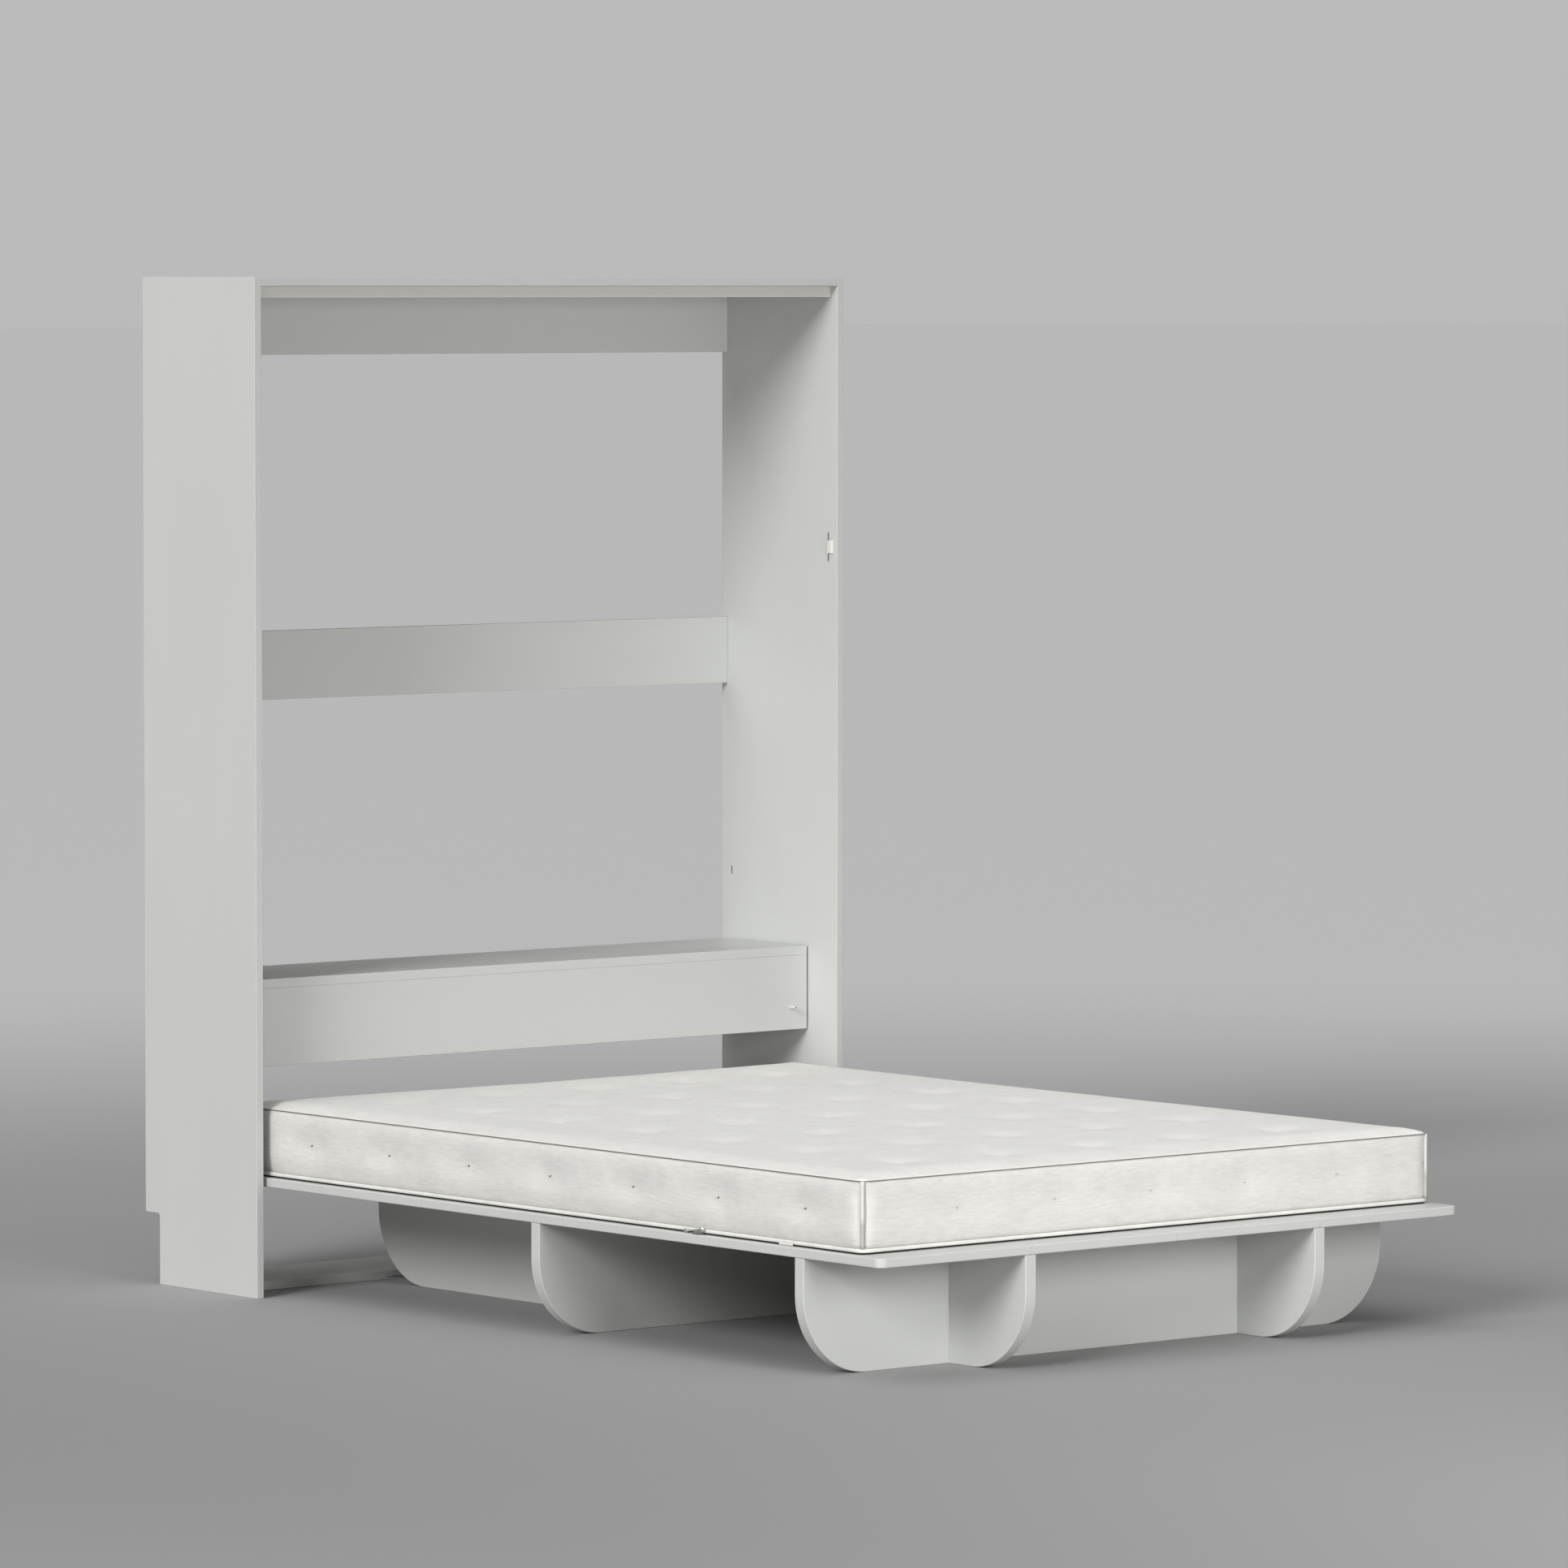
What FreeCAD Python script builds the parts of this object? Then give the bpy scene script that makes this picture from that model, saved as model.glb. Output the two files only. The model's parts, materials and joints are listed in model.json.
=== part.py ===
"""Wall bed that folds up into a cabinet, modelled open, in millimetres.

Frame: +X to the right seen from the foot of the bed, +Y towards the wall, +Z up.
The origin is on the floor, in the middle of the space that the open bed takes up.
Each piece is a solid of its own, and its label names its file.
"""
import FreeCAD, Part
import Sketcher

import math
import os

from FreeCAD import Placement, Rotation, Vector

# ---------------------------------------------------------------- driving dimensions

DIMENSIONS = [
    ("open_depth", 2388.0, "wall to the foot edge of the deck"),
    ("cabinet_width", 1610.0, "outer width of the cabinet"),
    ("cabinet_height", 2146.0, "outer height of the cabinet"),
    ("cabinet_depth", 401.0, "wall to the cabinet's front edges"),
    ("side_thickness", 17.5, "side panels"),
    ("top_thickness", 19.0, "top panel"),
    ("arris", 1.2, "softened edges of the painted boards"),
    ("kick_height", 152.5, "notch over the room's skirting board"),
    ("kick_depth", 51.0, "notch over the room's skirting board"),
    ("kick_round", 8.0, "inner corner of that notch"),
    ("header_recess", 23.0, "cabinet front edge to the header"),
    ("header_low", 2102.5, "underside of the header"),
    ("header_thickness", 19.0, "header"),
    ("rail_thickness", 19.5, "back rails"),
    ("upper_rail_low", 1979.0, "underside of the upper back rail"),
    ("middle_rail_low", 1238.0, "underside of the middle back rail"),
    ("middle_rail_high", 1386.5, "top of the middle back rail"),
    ("hinge_rail_low", 560.0, "underside of the rail that carries the headboard"),
    ("floor_board_thickness", 18.8, "board that ties the side panels at the floor"),
    ("floor_board_front", 280.5, "wall to the front of the floor board"),
    ("shelf_top", 663.4, "top of the headboard shelf"),
    ("shelf_thickness", 20.0, "headboard boards"),
    ("shelf_depth", 302.5, "wall to the front of the headboard"),
    ("shelf_low", 478.5, "underside of the headboard's front board"),
    ("shelf_gap", 4.0, "headboard's end to the side panel"),
    ("deck_top", 253.2, "top of the bed deck"),
    ("deck_thickness", 19.2, "deck planks"),
    ("deck_half_width", 776.0, "middle of the bed to the deck's side"),
    ("deck_length", 2104.0, "foot edge to head edge"),
    ("deck_round", 18.0, "foot corners of the deck, in plan"),
    ("deck_arris", 2.5, "softened edges of the deck"),
    ("plank_gap", 0.4, "seam between deck planks"),
    ("leg_thickness", 27.4, "leg boards"),
    ("leg_round", 160.0, "rounded lower corners of the leg boards"),
    ("leg_arris", 1.8, "softened edges of the leg boards"),
    ("lengthwise_leg_outer", 401.2, "middle of the bed to a lengthwise leg's outer face"),
    ("foot_leg_front", 230.0, "foot edge to the front cross leg"),
    ("middle_leg_front", 1064.0, "foot edge to the middle cross leg"),
    ("lap_clearance", 0.3, "each side of a half-lap slot"),
    ("mattress_half_width", 762.0, "queen size mattress, 1524 wide"),
    ("mattress_foot_gap", 70.5, "deck foot edge to the mattress"),
    ("mattress_length", 2027.0, "queen size mattress, slightly compressed"),
    ("mattress_height", 145.0, "mattress"),
    ("mattress_round", 20.0, "corners of the mattress, in plan"),
    ("mattress_arris", 10.0, "upper and lower edges of the mattress"),
    ("pivot_from_wall", 449.0, "wall to the pivot axis of the bed"),
    ("pivot_height", 183.0, "floor to the pivot axis of the bed"),
    ("pin_radius", 6.0, "pivot bolt"),
    ("pin_clearance", 0.05, "radial play of the pivot bolt in its bush"),
    ("headboard_tip_y", 23.8, "wall to the headboard's hinge axis"),
    ("headboard_tip_z", 639.0, "floor to the headboard's hinge axis"),
    ("knuckle_radius", 4.0, "hinge knuckles"),
    ("hinge_pin_radius", 2.5, "hinge pins"),
    ("latch_from_foot", 551.0, "foot edge to the latch ball"),
    ("latch_ball_height", 265.2, "floor to the centre of the latch ball"),
    ("latch_ball_radius", 5.0, "latch ball"),
    ("latch_reach", 51.0, "latch pivot to the latch ball"),
    ("striker_low", 1520.0, "lower end of the striker strip"),
    ("striker_length", 63.0, "striker strip"),
    ("striker_thickness", 2.0, "striker strip"),
    ("striker_lip", 1.6, "how far the striker strip stands out of the side panel"),
]


class Formula:
    """A length, together with the text that works it out from the sheet's cells."""

    def __init__(self, text, value):
        self.text = text
        self.value = float(value)

    def _join(self, sign, other, value):
        return Formula(f"({self.text} {sign} {other.text})", value)

    def __add__(self, other):
        other = formula(other)
        return self._join("+", other, self.value + other.value)

    def __sub__(self, other):
        other = formula(other)
        return self._join("-", other, self.value - other.value)

    def __mul__(self, other):
        other = formula(other)
        return self._join("*", other, self.value * other.value)

    def __truediv__(self, other):
        other = formula(other)
        return self._join("/", other, self.value / other.value)

    def __radd__(self, other):
        return formula(other) + self

    def __rsub__(self, other):
        return formula(other) - self

    def __neg__(self):
        return formula(0.0) - self


def formula(number):
    """Plain numbers become formulas, and formulas stay as they are."""
    if isinstance(number, Formula):
        return number
    return Formula(f"({float(number)!r})", number)


doc = FreeCAD.newDocument("WallBed")
sheet = doc.addObject("Spreadsheet::Sheet", "Size")
dims = {}
for row, (alias, value, note) in enumerate(DIMENSIONS, start=1):
    sheet.set(f"A{row}", alias)
    sheet.set(f"B{row}", str(value))
    sheet.set(f"C{row}", note)
    sheet.setAlias(f"B{row}", alias)
    dims[alias] = Formula(f"Size.{alias}", value)
doc.recompute()

PIECES = []     # every sub-part, in the order it is made


# ---------------------------------------------------------------- building blocks

def bind(target, prop, length):
    """Ties one property of an object to the sheet."""
    target.setExpression(prop, formula(length).text)


class Board:
    """A PartDesign body whose first feature is a pad of an outline."""

    ROLES = {"x": "YZ_Plane", "y": "XZ_Plane", "z": "XY_Plane"}
    NORMALS = {"x": 1.0, "y": -1.0, "z": 1.0}       # which way each origin plane faces

    def __init__(self, label, axis, low, high, outline):
        self.body = doc.addObject("PartDesign::Body", label)
        self.body.Label = label
        self.label = label
        self.features = 0
        low = formula(low)
        high = formula(high)
        at = high if axis == "y" else low
        sketch = self.outline_sketch(axis, at, outline)
        pad = self.feature("PartDesign::Pad", "Pad")
        pad.Profile = sketch
        bind(pad, "Length", high - low)
        doc.recompute()
        self.tip = pad
        PIECES.append(self.body)

    def feature(self, kind, name):
        self.features += 1
        return self.body.newObject(kind, f"{self.label}_{name}{self.features}")

    def sketch_on(self, axis, at):
        """An empty sketch across an axis, at a distance along that axis."""
        sketch = self.feature("Sketcher::SketchObject", "Sketch")
        role = self.ROLES[axis]
        plane = next(p for p in self.body.Origin.OriginFeatures if p.Role == role)
        sketch.AttachmentSupport = [(plane, "")]
        sketch.MapMode = "FlatFace"
        offset = formula(at) if self.NORMALS[axis] > 0 else -formula(at)
        bind(sketch, "AttachmentOffset.Base.z", offset)
        return sketch

    @staticmethod
    def fix_point(sketch, geometry, corner, across, up):
        """Holds one point of a sketch at its two distances from the origin."""
        for kind, distance in (("DistanceX", across), ("DistanceY", up)):
            value = formula(distance)
            index = sketch.addConstraint(
                Sketcher.Constraint(kind, -1, 1, geometry, corner, value.value))
            sketch.setExpression(f"Constraints[{index}]", value.text)

    def outline_sketch(self, axis, at, outline):
        """A closed outline of straight runs through the given corners."""
        sketch = self.sketch_on(axis, at)
        corners = [(formula(across), formula(up)) for across, up in outline]
        count = len(corners)
        points = [Vector(across.value, up.value, 0) for across, up in corners]
        for index in range(count):
            sketch.addGeometry(
                Part.LineSegment(points[index], points[(index + 1) % count]), False)
        for index in range(count):
            sketch.addConstraint(
                Sketcher.Constraint("Coincident", index, 2, (index + 1) % count, 1))
        for index, (across, up) in enumerate(corners):
            self.fix_point(sketch, index, 1, across, up)
        return sketch

    def cut(self, sketch, axis, toward, depth):
        """A pocket from the sketch, along +axis or -axis."""
        before = self.body.Shape.Volume
        pocket = self.feature("PartDesign::Pocket", "Pocket")
        pocket.Profile = sketch
        bind(pocket, "Length", depth)
        pocket.Reversed = toward * self.NORMALS[axis] > 0
        doc.recompute()
        if self.body.Shape.Volume >= before:
            raise RuntimeError(f"{self.label}: a pocket removed nothing")
        self.tip = pocket
        return self

    def drill(self, axis, at, toward, centres, radius, depth):
        """Round holes from a plane across an axis, along +axis or -axis."""
        sketch = self.sketch_on(axis, at)
        size = formula(radius)
        for index, (across, up) in enumerate(centres):
            middle = Vector(formula(across).value, formula(up).value, 0)
            sketch.addGeometry(Part.Circle(middle, Vector(0, 0, 1), size.value), False)
            self.fix_point(sketch, index, 3, across, up)
            ring = sketch.addConstraint(Sketcher.Constraint("Radius", index, size.value))
            sketch.setExpression(f"Constraints[{ring}]", size.text)
        return self.cut(sketch, axis, toward, depth)

    def slot(self, axis, at, toward, outline, depth):
        """A pocket with a straight-sided outline."""
        return self.cut(self.outline_sketch(axis, at, outline), axis, toward, depth)

    def round(self, radius, wanted):
        """Rounds the edges for which wanted(edge) is true."""
        names = [f"Edge{number}" for number, edge in enumerate(self.tip.Shape.Edges, 1)
                 if wanted(edge)]
        rounding = self.feature("PartDesign::Fillet", "Fillet")
        rounding.Base = (self.tip, names)
        bind(rounding, "Radius", radius)
        doc.recompute()
        self.tip = rounding
        return self


def box_outline(low, high):
    """The four corners of a rectangle."""
    return [(low[0], low[1]), (high[0], low[1]), (high[0], high[1]), (low[0], high[1])]


def plank(label, x, y, z, arris=None):
    """A rectangular board between low and high limits, with softened edges."""
    board = Board(label, "z", z[0], z[1], box_outline((x[0], y[0]), (x[1], y[1])))
    return board.round(arris or dims["arris"], lambda edge: True)


def is_along(edge, axis):
    """True for a straight edge that runs along X, Y or Z."""
    direction = edge.Vertexes[-1].Point - edge.Vertexes[0].Point
    parts = {"x": direction.x, "y": direction.y, "z": direction.z}
    return abs(abs(parts[axis]) - direction.Length) < 1e-6 and direction.Length > 0


def passes(edge, **near):
    """True where the middle of an edge has the given coordinates."""
    middle = edge.BoundBox.Center
    values = {"x": middle.x, "y": middle.y, "z": middle.z}
    return all(abs(values[axis] - formula(where).value) < 0.01
               for axis, where in near.items())


def solid_piece(label, shape):
    """A piece whose shape is made with Part's own functions."""
    piece = doc.addObject("Part::Feature", label)
    piece.Label = label
    piece.Shape = shape
    piece.Placement = Placement()
    PIECES.append(piece)
    return piece


def size_of(alias):
    """A cell of the sheet as a plain number."""
    return float(getattr(sheet, alias))


def rod(start, direction, radius, length):
    """A cylinder from a point along a direction."""
    return Part.makeCylinder(radius, length, Vector(*start), Vector(*direction))


def block(x, y, z):
    """A box between low and high limits."""
    return Part.makeBox(x[1] - x[0], y[1] - y[0], z[1] - z[0], Vector(x[0], y[0], z[0]))


def softened(shape, radius):
    """The same solid with every edge rounded."""
    return shape.makeFillet(radius, shape.Edges)


def screw(head_at, direction, shank, head, length):
    """A countersunk screw with a hexagon socket, its head's face at head_at."""
    sink = head - shank
    cone = Part.makeCone(head, shank, sink)
    body = cone.fuse(Part.makeCylinder(shank, length))
    corners = [Vector(0.5 * head * math.cos(turn * math.pi / 3),
                      0.5 * head * math.sin(turn * math.pi / 3), 0) for turn in range(7)]
    socket = Part.Face(Part.makePolygon(corners)).extrude(Vector(0, 0, 0.9 * sink))
    body = body.cut(socket)
    turn = Rotation(Vector(0, 0, 1), Vector(*direction))
    body.Placement = Placement(Vector(*head_at), turn)
    return body


def screw_hole(head_at, direction, shank, head, length, play=0.05):
    """The countersunk hole that such a screw sits in."""
    sink = head - shank
    cone = Part.makeCone(head + play, shank + play, sink)
    hole = cone.fuse(Part.makeCylinder(shank + play, length + play))
    turn = Rotation(Vector(0, 0, 1), Vector(*direction))
    hole.Placement = Placement(Vector(*head_at), turn)
    return hole


def mirrored(shape):
    """The same shape on the other side of the bed."""
    return shape.mirror(Vector(0, 0, 0), Vector(1, 0, 0))


def pair(label, right_shape):
    """A left and a right piece, mirror images of each other."""
    solid_piece(f"{label}_left", mirrored(right_shape))
    solid_piece(f"{label}_right", right_shape)


# ---------------------------------------------------------------- places

wall = dims["open_depth"] / 2
foot = -dims["open_depth"] / 2
front = wall - dims["cabinet_depth"]
outer = dims["cabinet_width"] / 2
inner = outer - dims["side_thickness"]
top = dims["cabinet_height"]
ceiling = top - dims["top_thickness"]
rail_front = wall - dims["rail_thickness"]
kick_front = wall - dims["kick_depth"]
header_front = front + dims["header_recess"]
header_back = header_front + dims["header_thickness"]
floor_board_front = wall - dims["floor_board_front"]
floor_board_back = kick_front - 1.0
deck_low = dims["deck_top"] - dims["deck_thickness"]
deck_head = foot + dims["deck_length"]
pivot_y = wall - dims["pivot_from_wall"]
pivot_z = dims["pivot_height"]
lengthwise_inner = dims["lengthwise_leg_outer"] - dims["leg_thickness"]
leg_head = pivot_y + dims["leg_round"]

# Knock-down fittings: a steel bolt in the side panel runs into a round cam in the board.
CAM_RADIUS = 7.5
CAM_DEPTH = 13.0
CAM_FROM_END = 34.0
CAM_SUNK = 0.3                  # the cam's face lies this far below the board's
CAM_SLIT = 4.5                  # half the length of the slit for a screwdriver
CAM_SLIT_HALF = 0.6             # half its width
CAM_SLIT_DEPTH = 2.5
BOLT_RADIUS = 3.5
DOWEL_RADIUS = 4.0
BLIND_DEPTH = 11.0
DOWEL_LENGTH = 40.0
FITTING_PLAY = 0.05

BOLT_INSET = 70.0               # panel's edge to the bolts of the top panel
RAIL_BOLT_INSET = 30.0          # rail's edge to its bolts
FLOOR_BOLT_INSET = 35.0         # floor board's edge to its bolts
RAIL_DOWEL = 74.0               # rail's underside to its dowel

rail_mid = wall - dims["rail_thickness"] / 2
floor_mid = dims["floor_board_thickness"] / 2
top_mid = top - dims["top_thickness"] / 2
header_mid = header_front + dims["header_thickness"] / 2

# member: label, bolt places and dowel places as (Y, Z), cam face axis and side
FITTINGS = {
    "top_panel": ([(front + BOLT_INSET, top_mid), (wall - BOLT_INSET, top_mid)],
                  [(front + dims["cabinet_depth"] / 2, top_mid)], "z", 1),
    "header_rail": ([(header_mid, (dims["header_low"] + ceiling) / 2)], [], "y", 1),
    "upper_back_rail": ([(rail_mid, dims["upper_rail_low"] + RAIL_BOLT_INSET),
                         (rail_mid, ceiling - RAIL_BOLT_INSET)],
                        [(rail_mid, dims["upper_rail_low"] + RAIL_DOWEL)], "y", 1),
    "middle_back_rail": ([(rail_mid, dims["middle_rail_low"] + RAIL_BOLT_INSET),
                          (rail_mid, dims["middle_rail_high"] - RAIL_BOLT_INSET)],
                         [(rail_mid, dims["middle_rail_low"] + RAIL_DOWEL)], "y", 1),
    "headboard_hinge_rail": ([(rail_mid, dims["hinge_rail_low"] + RAIL_BOLT_INSET)],
                             [(rail_mid, dims["hinge_rail_low"] + RAIL_DOWEL)], "y", 1),
    "floor_board": ([(floor_board_front + FLOOR_BOLT_INSET, floor_mid),
                     (floor_board_back - FLOOR_BOLT_INSET, floor_mid)],
                    [((floor_board_front + floor_board_back) / 2, floor_mid)], "z", -1),
}


# ---------------------------------------------------------------- cabinet

def drilled_member(board, label):
    """Drills a cross member's ends for its bolts and dowels, and its face for the cams."""
    bolts, dowels, cam_axis, cam_side = FITTINGS[label]
    for side in (-1, 1):
        end = inner * side
        board.drill("x", end, -side, bolts, BOLT_RADIUS + FITTING_PLAY, CAM_FROM_END)
        if dowels:
            board.drill("x", end, -side, dowels, DOWEL_RADIUS + FITTING_PLAY,
                        DOWEL_LENGTH - BLIND_DEPTH + FITTING_PLAY)
    centre = inner - CAM_FROM_END
    if cam_axis == "z":
        face = top if cam_side > 0 else 0.0
        places = [(centre * side, y) for side in (-1, 1) for y, _ in bolts]
    else:
        face = header_back if label == "header_rail" else wall
        places = [(centre * side, z) for side in (-1, 1) for _, z in bolts]
    board.drill(cam_axis, face, -cam_side, places, CAM_RADIUS + FITTING_PLAY, CAM_DEPTH)
    return board


def side_panel(label, side):
    """A side panel, notched over the skirting board and drilled on its inner face."""
    low, high = (inner, outer) if side > 0 else (-outer, -inner)
    outline = [(front, 0), (kick_front, 0), (kick_front, dims["kick_height"]),
               (wall, dims["kick_height"]), (wall, top), (front, top)]
    panel = Board(label, "x", low, high, outline)
    panel.round(dims["kick_round"], lambda edge: is_along(edge, "x") and passes(
        edge, y=kick_front, z=dims["kick_height"]))
    panel.round(dims["arris"], lambda edge: not is_along(edge, "x") or passes(
        edge, y=front, z=0) or passes(edge, y=front, z=top))
    bolts = [place for fitting in FITTINGS.values() for place in fitting[0]]
    dowels = [place for fitting in FITTINGS.values() for place in fitting[1]]
    face = inner * side
    panel.drill("x", face, side, bolts, BOLT_RADIUS + FITTING_PLAY, BLIND_DEPTH + FITTING_PLAY)
    panel.drill("x", face, side, dowels, DOWEL_RADIUS + FITTING_PLAY, BLIND_DEPTH + FITTING_PLAY)
    panel.drill("x", face, side, CATCH_PEGS, CATCH_PEG_RADIUS + FITTING_PLAY,
                CATCH_PEG_LENGTH + 0.2)
    panel.slot("x", face, side, box_outline(
        (striker_front, striker_low), (striker_back, striker_high)), STRIKER_DEPTH)
    panel.slot("x", face, side, box_outline(*BLANKED_SLOT), BLANKED_DEPTH)
    return panel


# The striker is a strip let into the side panel, right behind a nylon block on two pegs.
STRIKER_DEPTH = 8.0
CATCH_BLOCK_HEIGHT = 28.5
CATCH_BLOCK_DEPTH = 14.4
CATCH_BLOCK_LIFT = 5.2              # how far it stands out of the side panel
CATCH_PEG_RADIUS = 2.5
CATCH_PEG_LENGTH = 10.0
striker_front = header_front + 5.4
striker_back = striker_front + dims["striker_thickness"]
striker_low = dims["striker_low"]
striker_high = striker_low + dims["striker_length"]
catch_back = striker_front - 0.1
catch_low = striker_low + 17.0
CATCH_PEGS = [(catch_back - CATCH_BLOCK_DEPTH / 2, catch_low + CATCH_BLOCK_HEIGHT * share)
              for share in (0.25, 0.75)]

# A short slot near the wall, closed by a dark blank.
BLANKED_DEPTH = 8.0
BLANKED_SLOT = ((wall - 36.5, 810.0), (wall - 33.5, 828.0))

side_panel("left_side_panel", -1)
side_panel("right_side_panel", 1)

across = (-inner, inner)
drilled_member(plank("top_panel", across, (front, wall), (ceiling, top)), "top_panel")
drilled_member(plank("header_rail", across, (header_front, header_back),
                     (dims["header_low"], ceiling)), "header_rail")

WALL_HOLES_X = (203.2, 609.6)       # wall studs 16 inches apart
WALL_HOLE_RADIUS = 3.5
WALL_HOLE_HIGH = 2112.0
WALL_HOLE_LOW = 600.0


def wall_rail(label, low, high, hole_height=None):
    """A back rail against the wall, with holes for wall screws where it takes them."""
    rail = plank(label, across, (rail_front, wall), (low, high))
    drilled_member(rail, label)
    if hole_height:
        holes = [(x * side, hole_height) for x in WALL_HOLES_X for side in (-1, 1)]
        rail.drill("y", wall, -1, holes, WALL_HOLE_RADIUS, dims["rail_thickness"])
    return rail


wall_rail("upper_back_rail", dims["upper_rail_low"], ceiling, WALL_HOLE_HIGH)
wall_rail("middle_back_rail", dims["middle_rail_low"], dims["middle_rail_high"])
hinge_rail = wall_rail("headboard_hinge_rail", dims["hinge_rail_low"], dims["shelf_top"],
                       WALL_HOLE_LOW)
floor_board = drilled_member(
    plank("floor_board", across, (floor_board_front, floor_board_back),
          (0, dims["floor_board_thickness"])), "floor_board")


def fitting_places():
    """Each fitting of each cross member, on both sides: side, kind and place."""
    for label, (bolts, dowels, cam_axis, cam_side) in FITTINGS.items():
        for side in (-1, 1):
            for y, z in bolts:
                yield label, side, "bolt", y.value, z.value, cam_axis, cam_side
            for y, z in dowels:
                yield label, side, "dowel", y.value, z.value, cam_axis, cam_side


def knock_down_fittings():
    """The cams, bolts and dowels, each kind as one group of separate solids."""
    cams, bolts, dowels = [], [], []
    for label, side, kind, y, z, cam_axis, cam_side in fitting_places():
        start = ((inner.value + BLIND_DEPTH) * side, y, z)
        if kind == "dowel":
            dowels.append(rod(start, (-side, 0, 0), DOWEL_RADIUS, DOWEL_LENGTH))
            continue
        reach = BLIND_DEPTH + CAM_FROM_END - CAM_RADIUS - 0.2
        bolts.append(rod(start, (-side, 0, 0), BOLT_RADIUS, reach))
        x = (inner.value - CAM_FROM_END) * side
        if cam_axis == "z":
            face = top.value if cam_side > 0 else 0.0
            cam = rod((x, y, face - cam_side * CAM_SUNK), (0, 0, -cam_side), CAM_RADIUS,
                      CAM_DEPTH - CAM_SUNK - 0.2)
            cross = block((x - CAM_SLIT, x + CAM_SLIT), (y - CAM_SLIT_HALF, y + CAM_SLIT_HALF),
                          (face - CAM_SLIT_DEPTH, face + CAM_SLIT_DEPTH))
        else:
            face = header_back.value if label == "header_rail" else wall.value
            cam = rod((x, face - CAM_SUNK, z), (0, -1, 0), CAM_RADIUS,
                      CAM_DEPTH - CAM_SUNK - 0.2)
            cross = block((x - CAM_SLIT, x + CAM_SLIT), (face - CAM_SLIT_DEPTH, face + CAM_SLIT_DEPTH),
                          (z - CAM_SLIT_HALF, z + CAM_SLIT_HALF))
        cams.append(cam.cut(cross))
    solid_piece("cam_locks", Part.makeCompound(cams))
    solid_piece("cam_bolts", Part.makeCompound(bolts))
    solid_piece("wood_dowels", Part.makeCompound(dowels))


knock_down_fittings()


# ---------------------------------------------------------------- bed pivots

UPRIGHT_FROM_LEG = 3.8          # long leg's inner face to the upright
UPRIGHT_THICKNESS = 6.0
EYE_RADIUS = 28.0
BASE_HEIGHT = 6.0
BASE_WIDTH = 40.0
BUSH_RADIUS = 12.0
BUSH_DEPTH = 22.0
BUSH_FLANGE = 2.0
BUSH_FLANGE_RADIUS = 16.0
RIB_HEIGHT = 110.0
RIB_THICKNESS = 6.0
BOLT_HEAD_HEIGHT = 8.0
BOLT_HEAD_INRADIUS = 9.5            # middle of the hexagon to a flat
WASHER_RADIUS = 12.0
WASHER_THICKNESS = 1.5
PIVOT_SCREW = (2.5, 5.0, 16.5)      # shank radius, head radius, length

upright_high = lengthwise_inner.value - UPRIGHT_FROM_LEG
upright_low = upright_high - UPRIGHT_THICKNESS
base_low = upright_high - BASE_WIDTH
eye = (pivot_y.value, pivot_z.value)
base_back = floor_board_back.value - 60.0
screw_x = (base_low + upright_high) / 2
screw_y = [floor_board_front.value + step for step in (35.0, 85.0, 145.0)]


def pivot_bracket():
    """Steel bracket: a flat bar under the floor board and an upright with an eye."""
    base = block((base_low, upright_high), (eye[0] - EYE_RADIUS, base_back), (0, BASE_HEIGHT))
    upright = block((upright_low, upright_high), (eye[0] - EYE_RADIUS, eye[0] + EYE_RADIUS),
                    (0, eye[1]))
    round_end = rod((upright_low, eye[0], eye[1]), (1, 0, 0), EYE_RADIUS, UPRIGHT_THICKNESS)
    rib_foot = Vector(upright_low, eye[0] - RIB_THICKNESS / 2, BASE_HEIGHT)
    rib_corners = [rib_foot, rib_foot + Vector(base_low - upright_low, 0, 0),
                   rib_foot + Vector(0, 0, RIB_HEIGHT), rib_foot]
    rib = Part.Face(Part.makePolygon(rib_corners)).extrude(Vector(0, RIB_THICKNESS, 0))
    shape = base.fuse([upright, round_end, rib]).removeSplitter()
    bore = size_of("pin_radius") + 0.1
    shape = shape.cut(rod((upright_low - 1, eye[0], eye[1]), (1, 0, 0), bore,
                          UPRIGHT_THICKNESS + 2))
    for y in screw_y:
        shape = shape.cut(screw_hole((screw_x, y, 0), (0, 0, 1), *PIVOT_SCREW))
    return shape


def pivot_bolt():
    """Shoulder bolt: hexagon head on the bracket's inner side, shank into the leg's bush."""
    radius = size_of("pin_radius")
    head_low = upright_low - BOLT_HEAD_HEIGHT
    corner = BOLT_HEAD_INRADIUS / math.cos(math.pi / 6)
    corners = [Vector(head_low, eye[0] + corner * math.cos(turn * math.pi / 3),
                      eye[1] + corner * math.sin(turn * math.pi / 3)) for turn in range(7)]
    head = Part.Face(Part.makePolygon(corners)).extrude(Vector(BOLT_HEAD_HEIGHT - 0.1, 0, 0))
    end = lengthwise_inner.value + BUSH_DEPTH - 1.5
    shank = rod((upright_low - 1, eye[0], eye[1]), (1, 0, 0), radius, end - upright_low + 1)
    shape = head.fuse(shank).removeSplitter()
    tip = [edge for edge in shape.Edges if abs(edge.BoundBox.Center.x - end) < 0.01]
    return shape.makeChamfer(1.0, tip)


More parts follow.
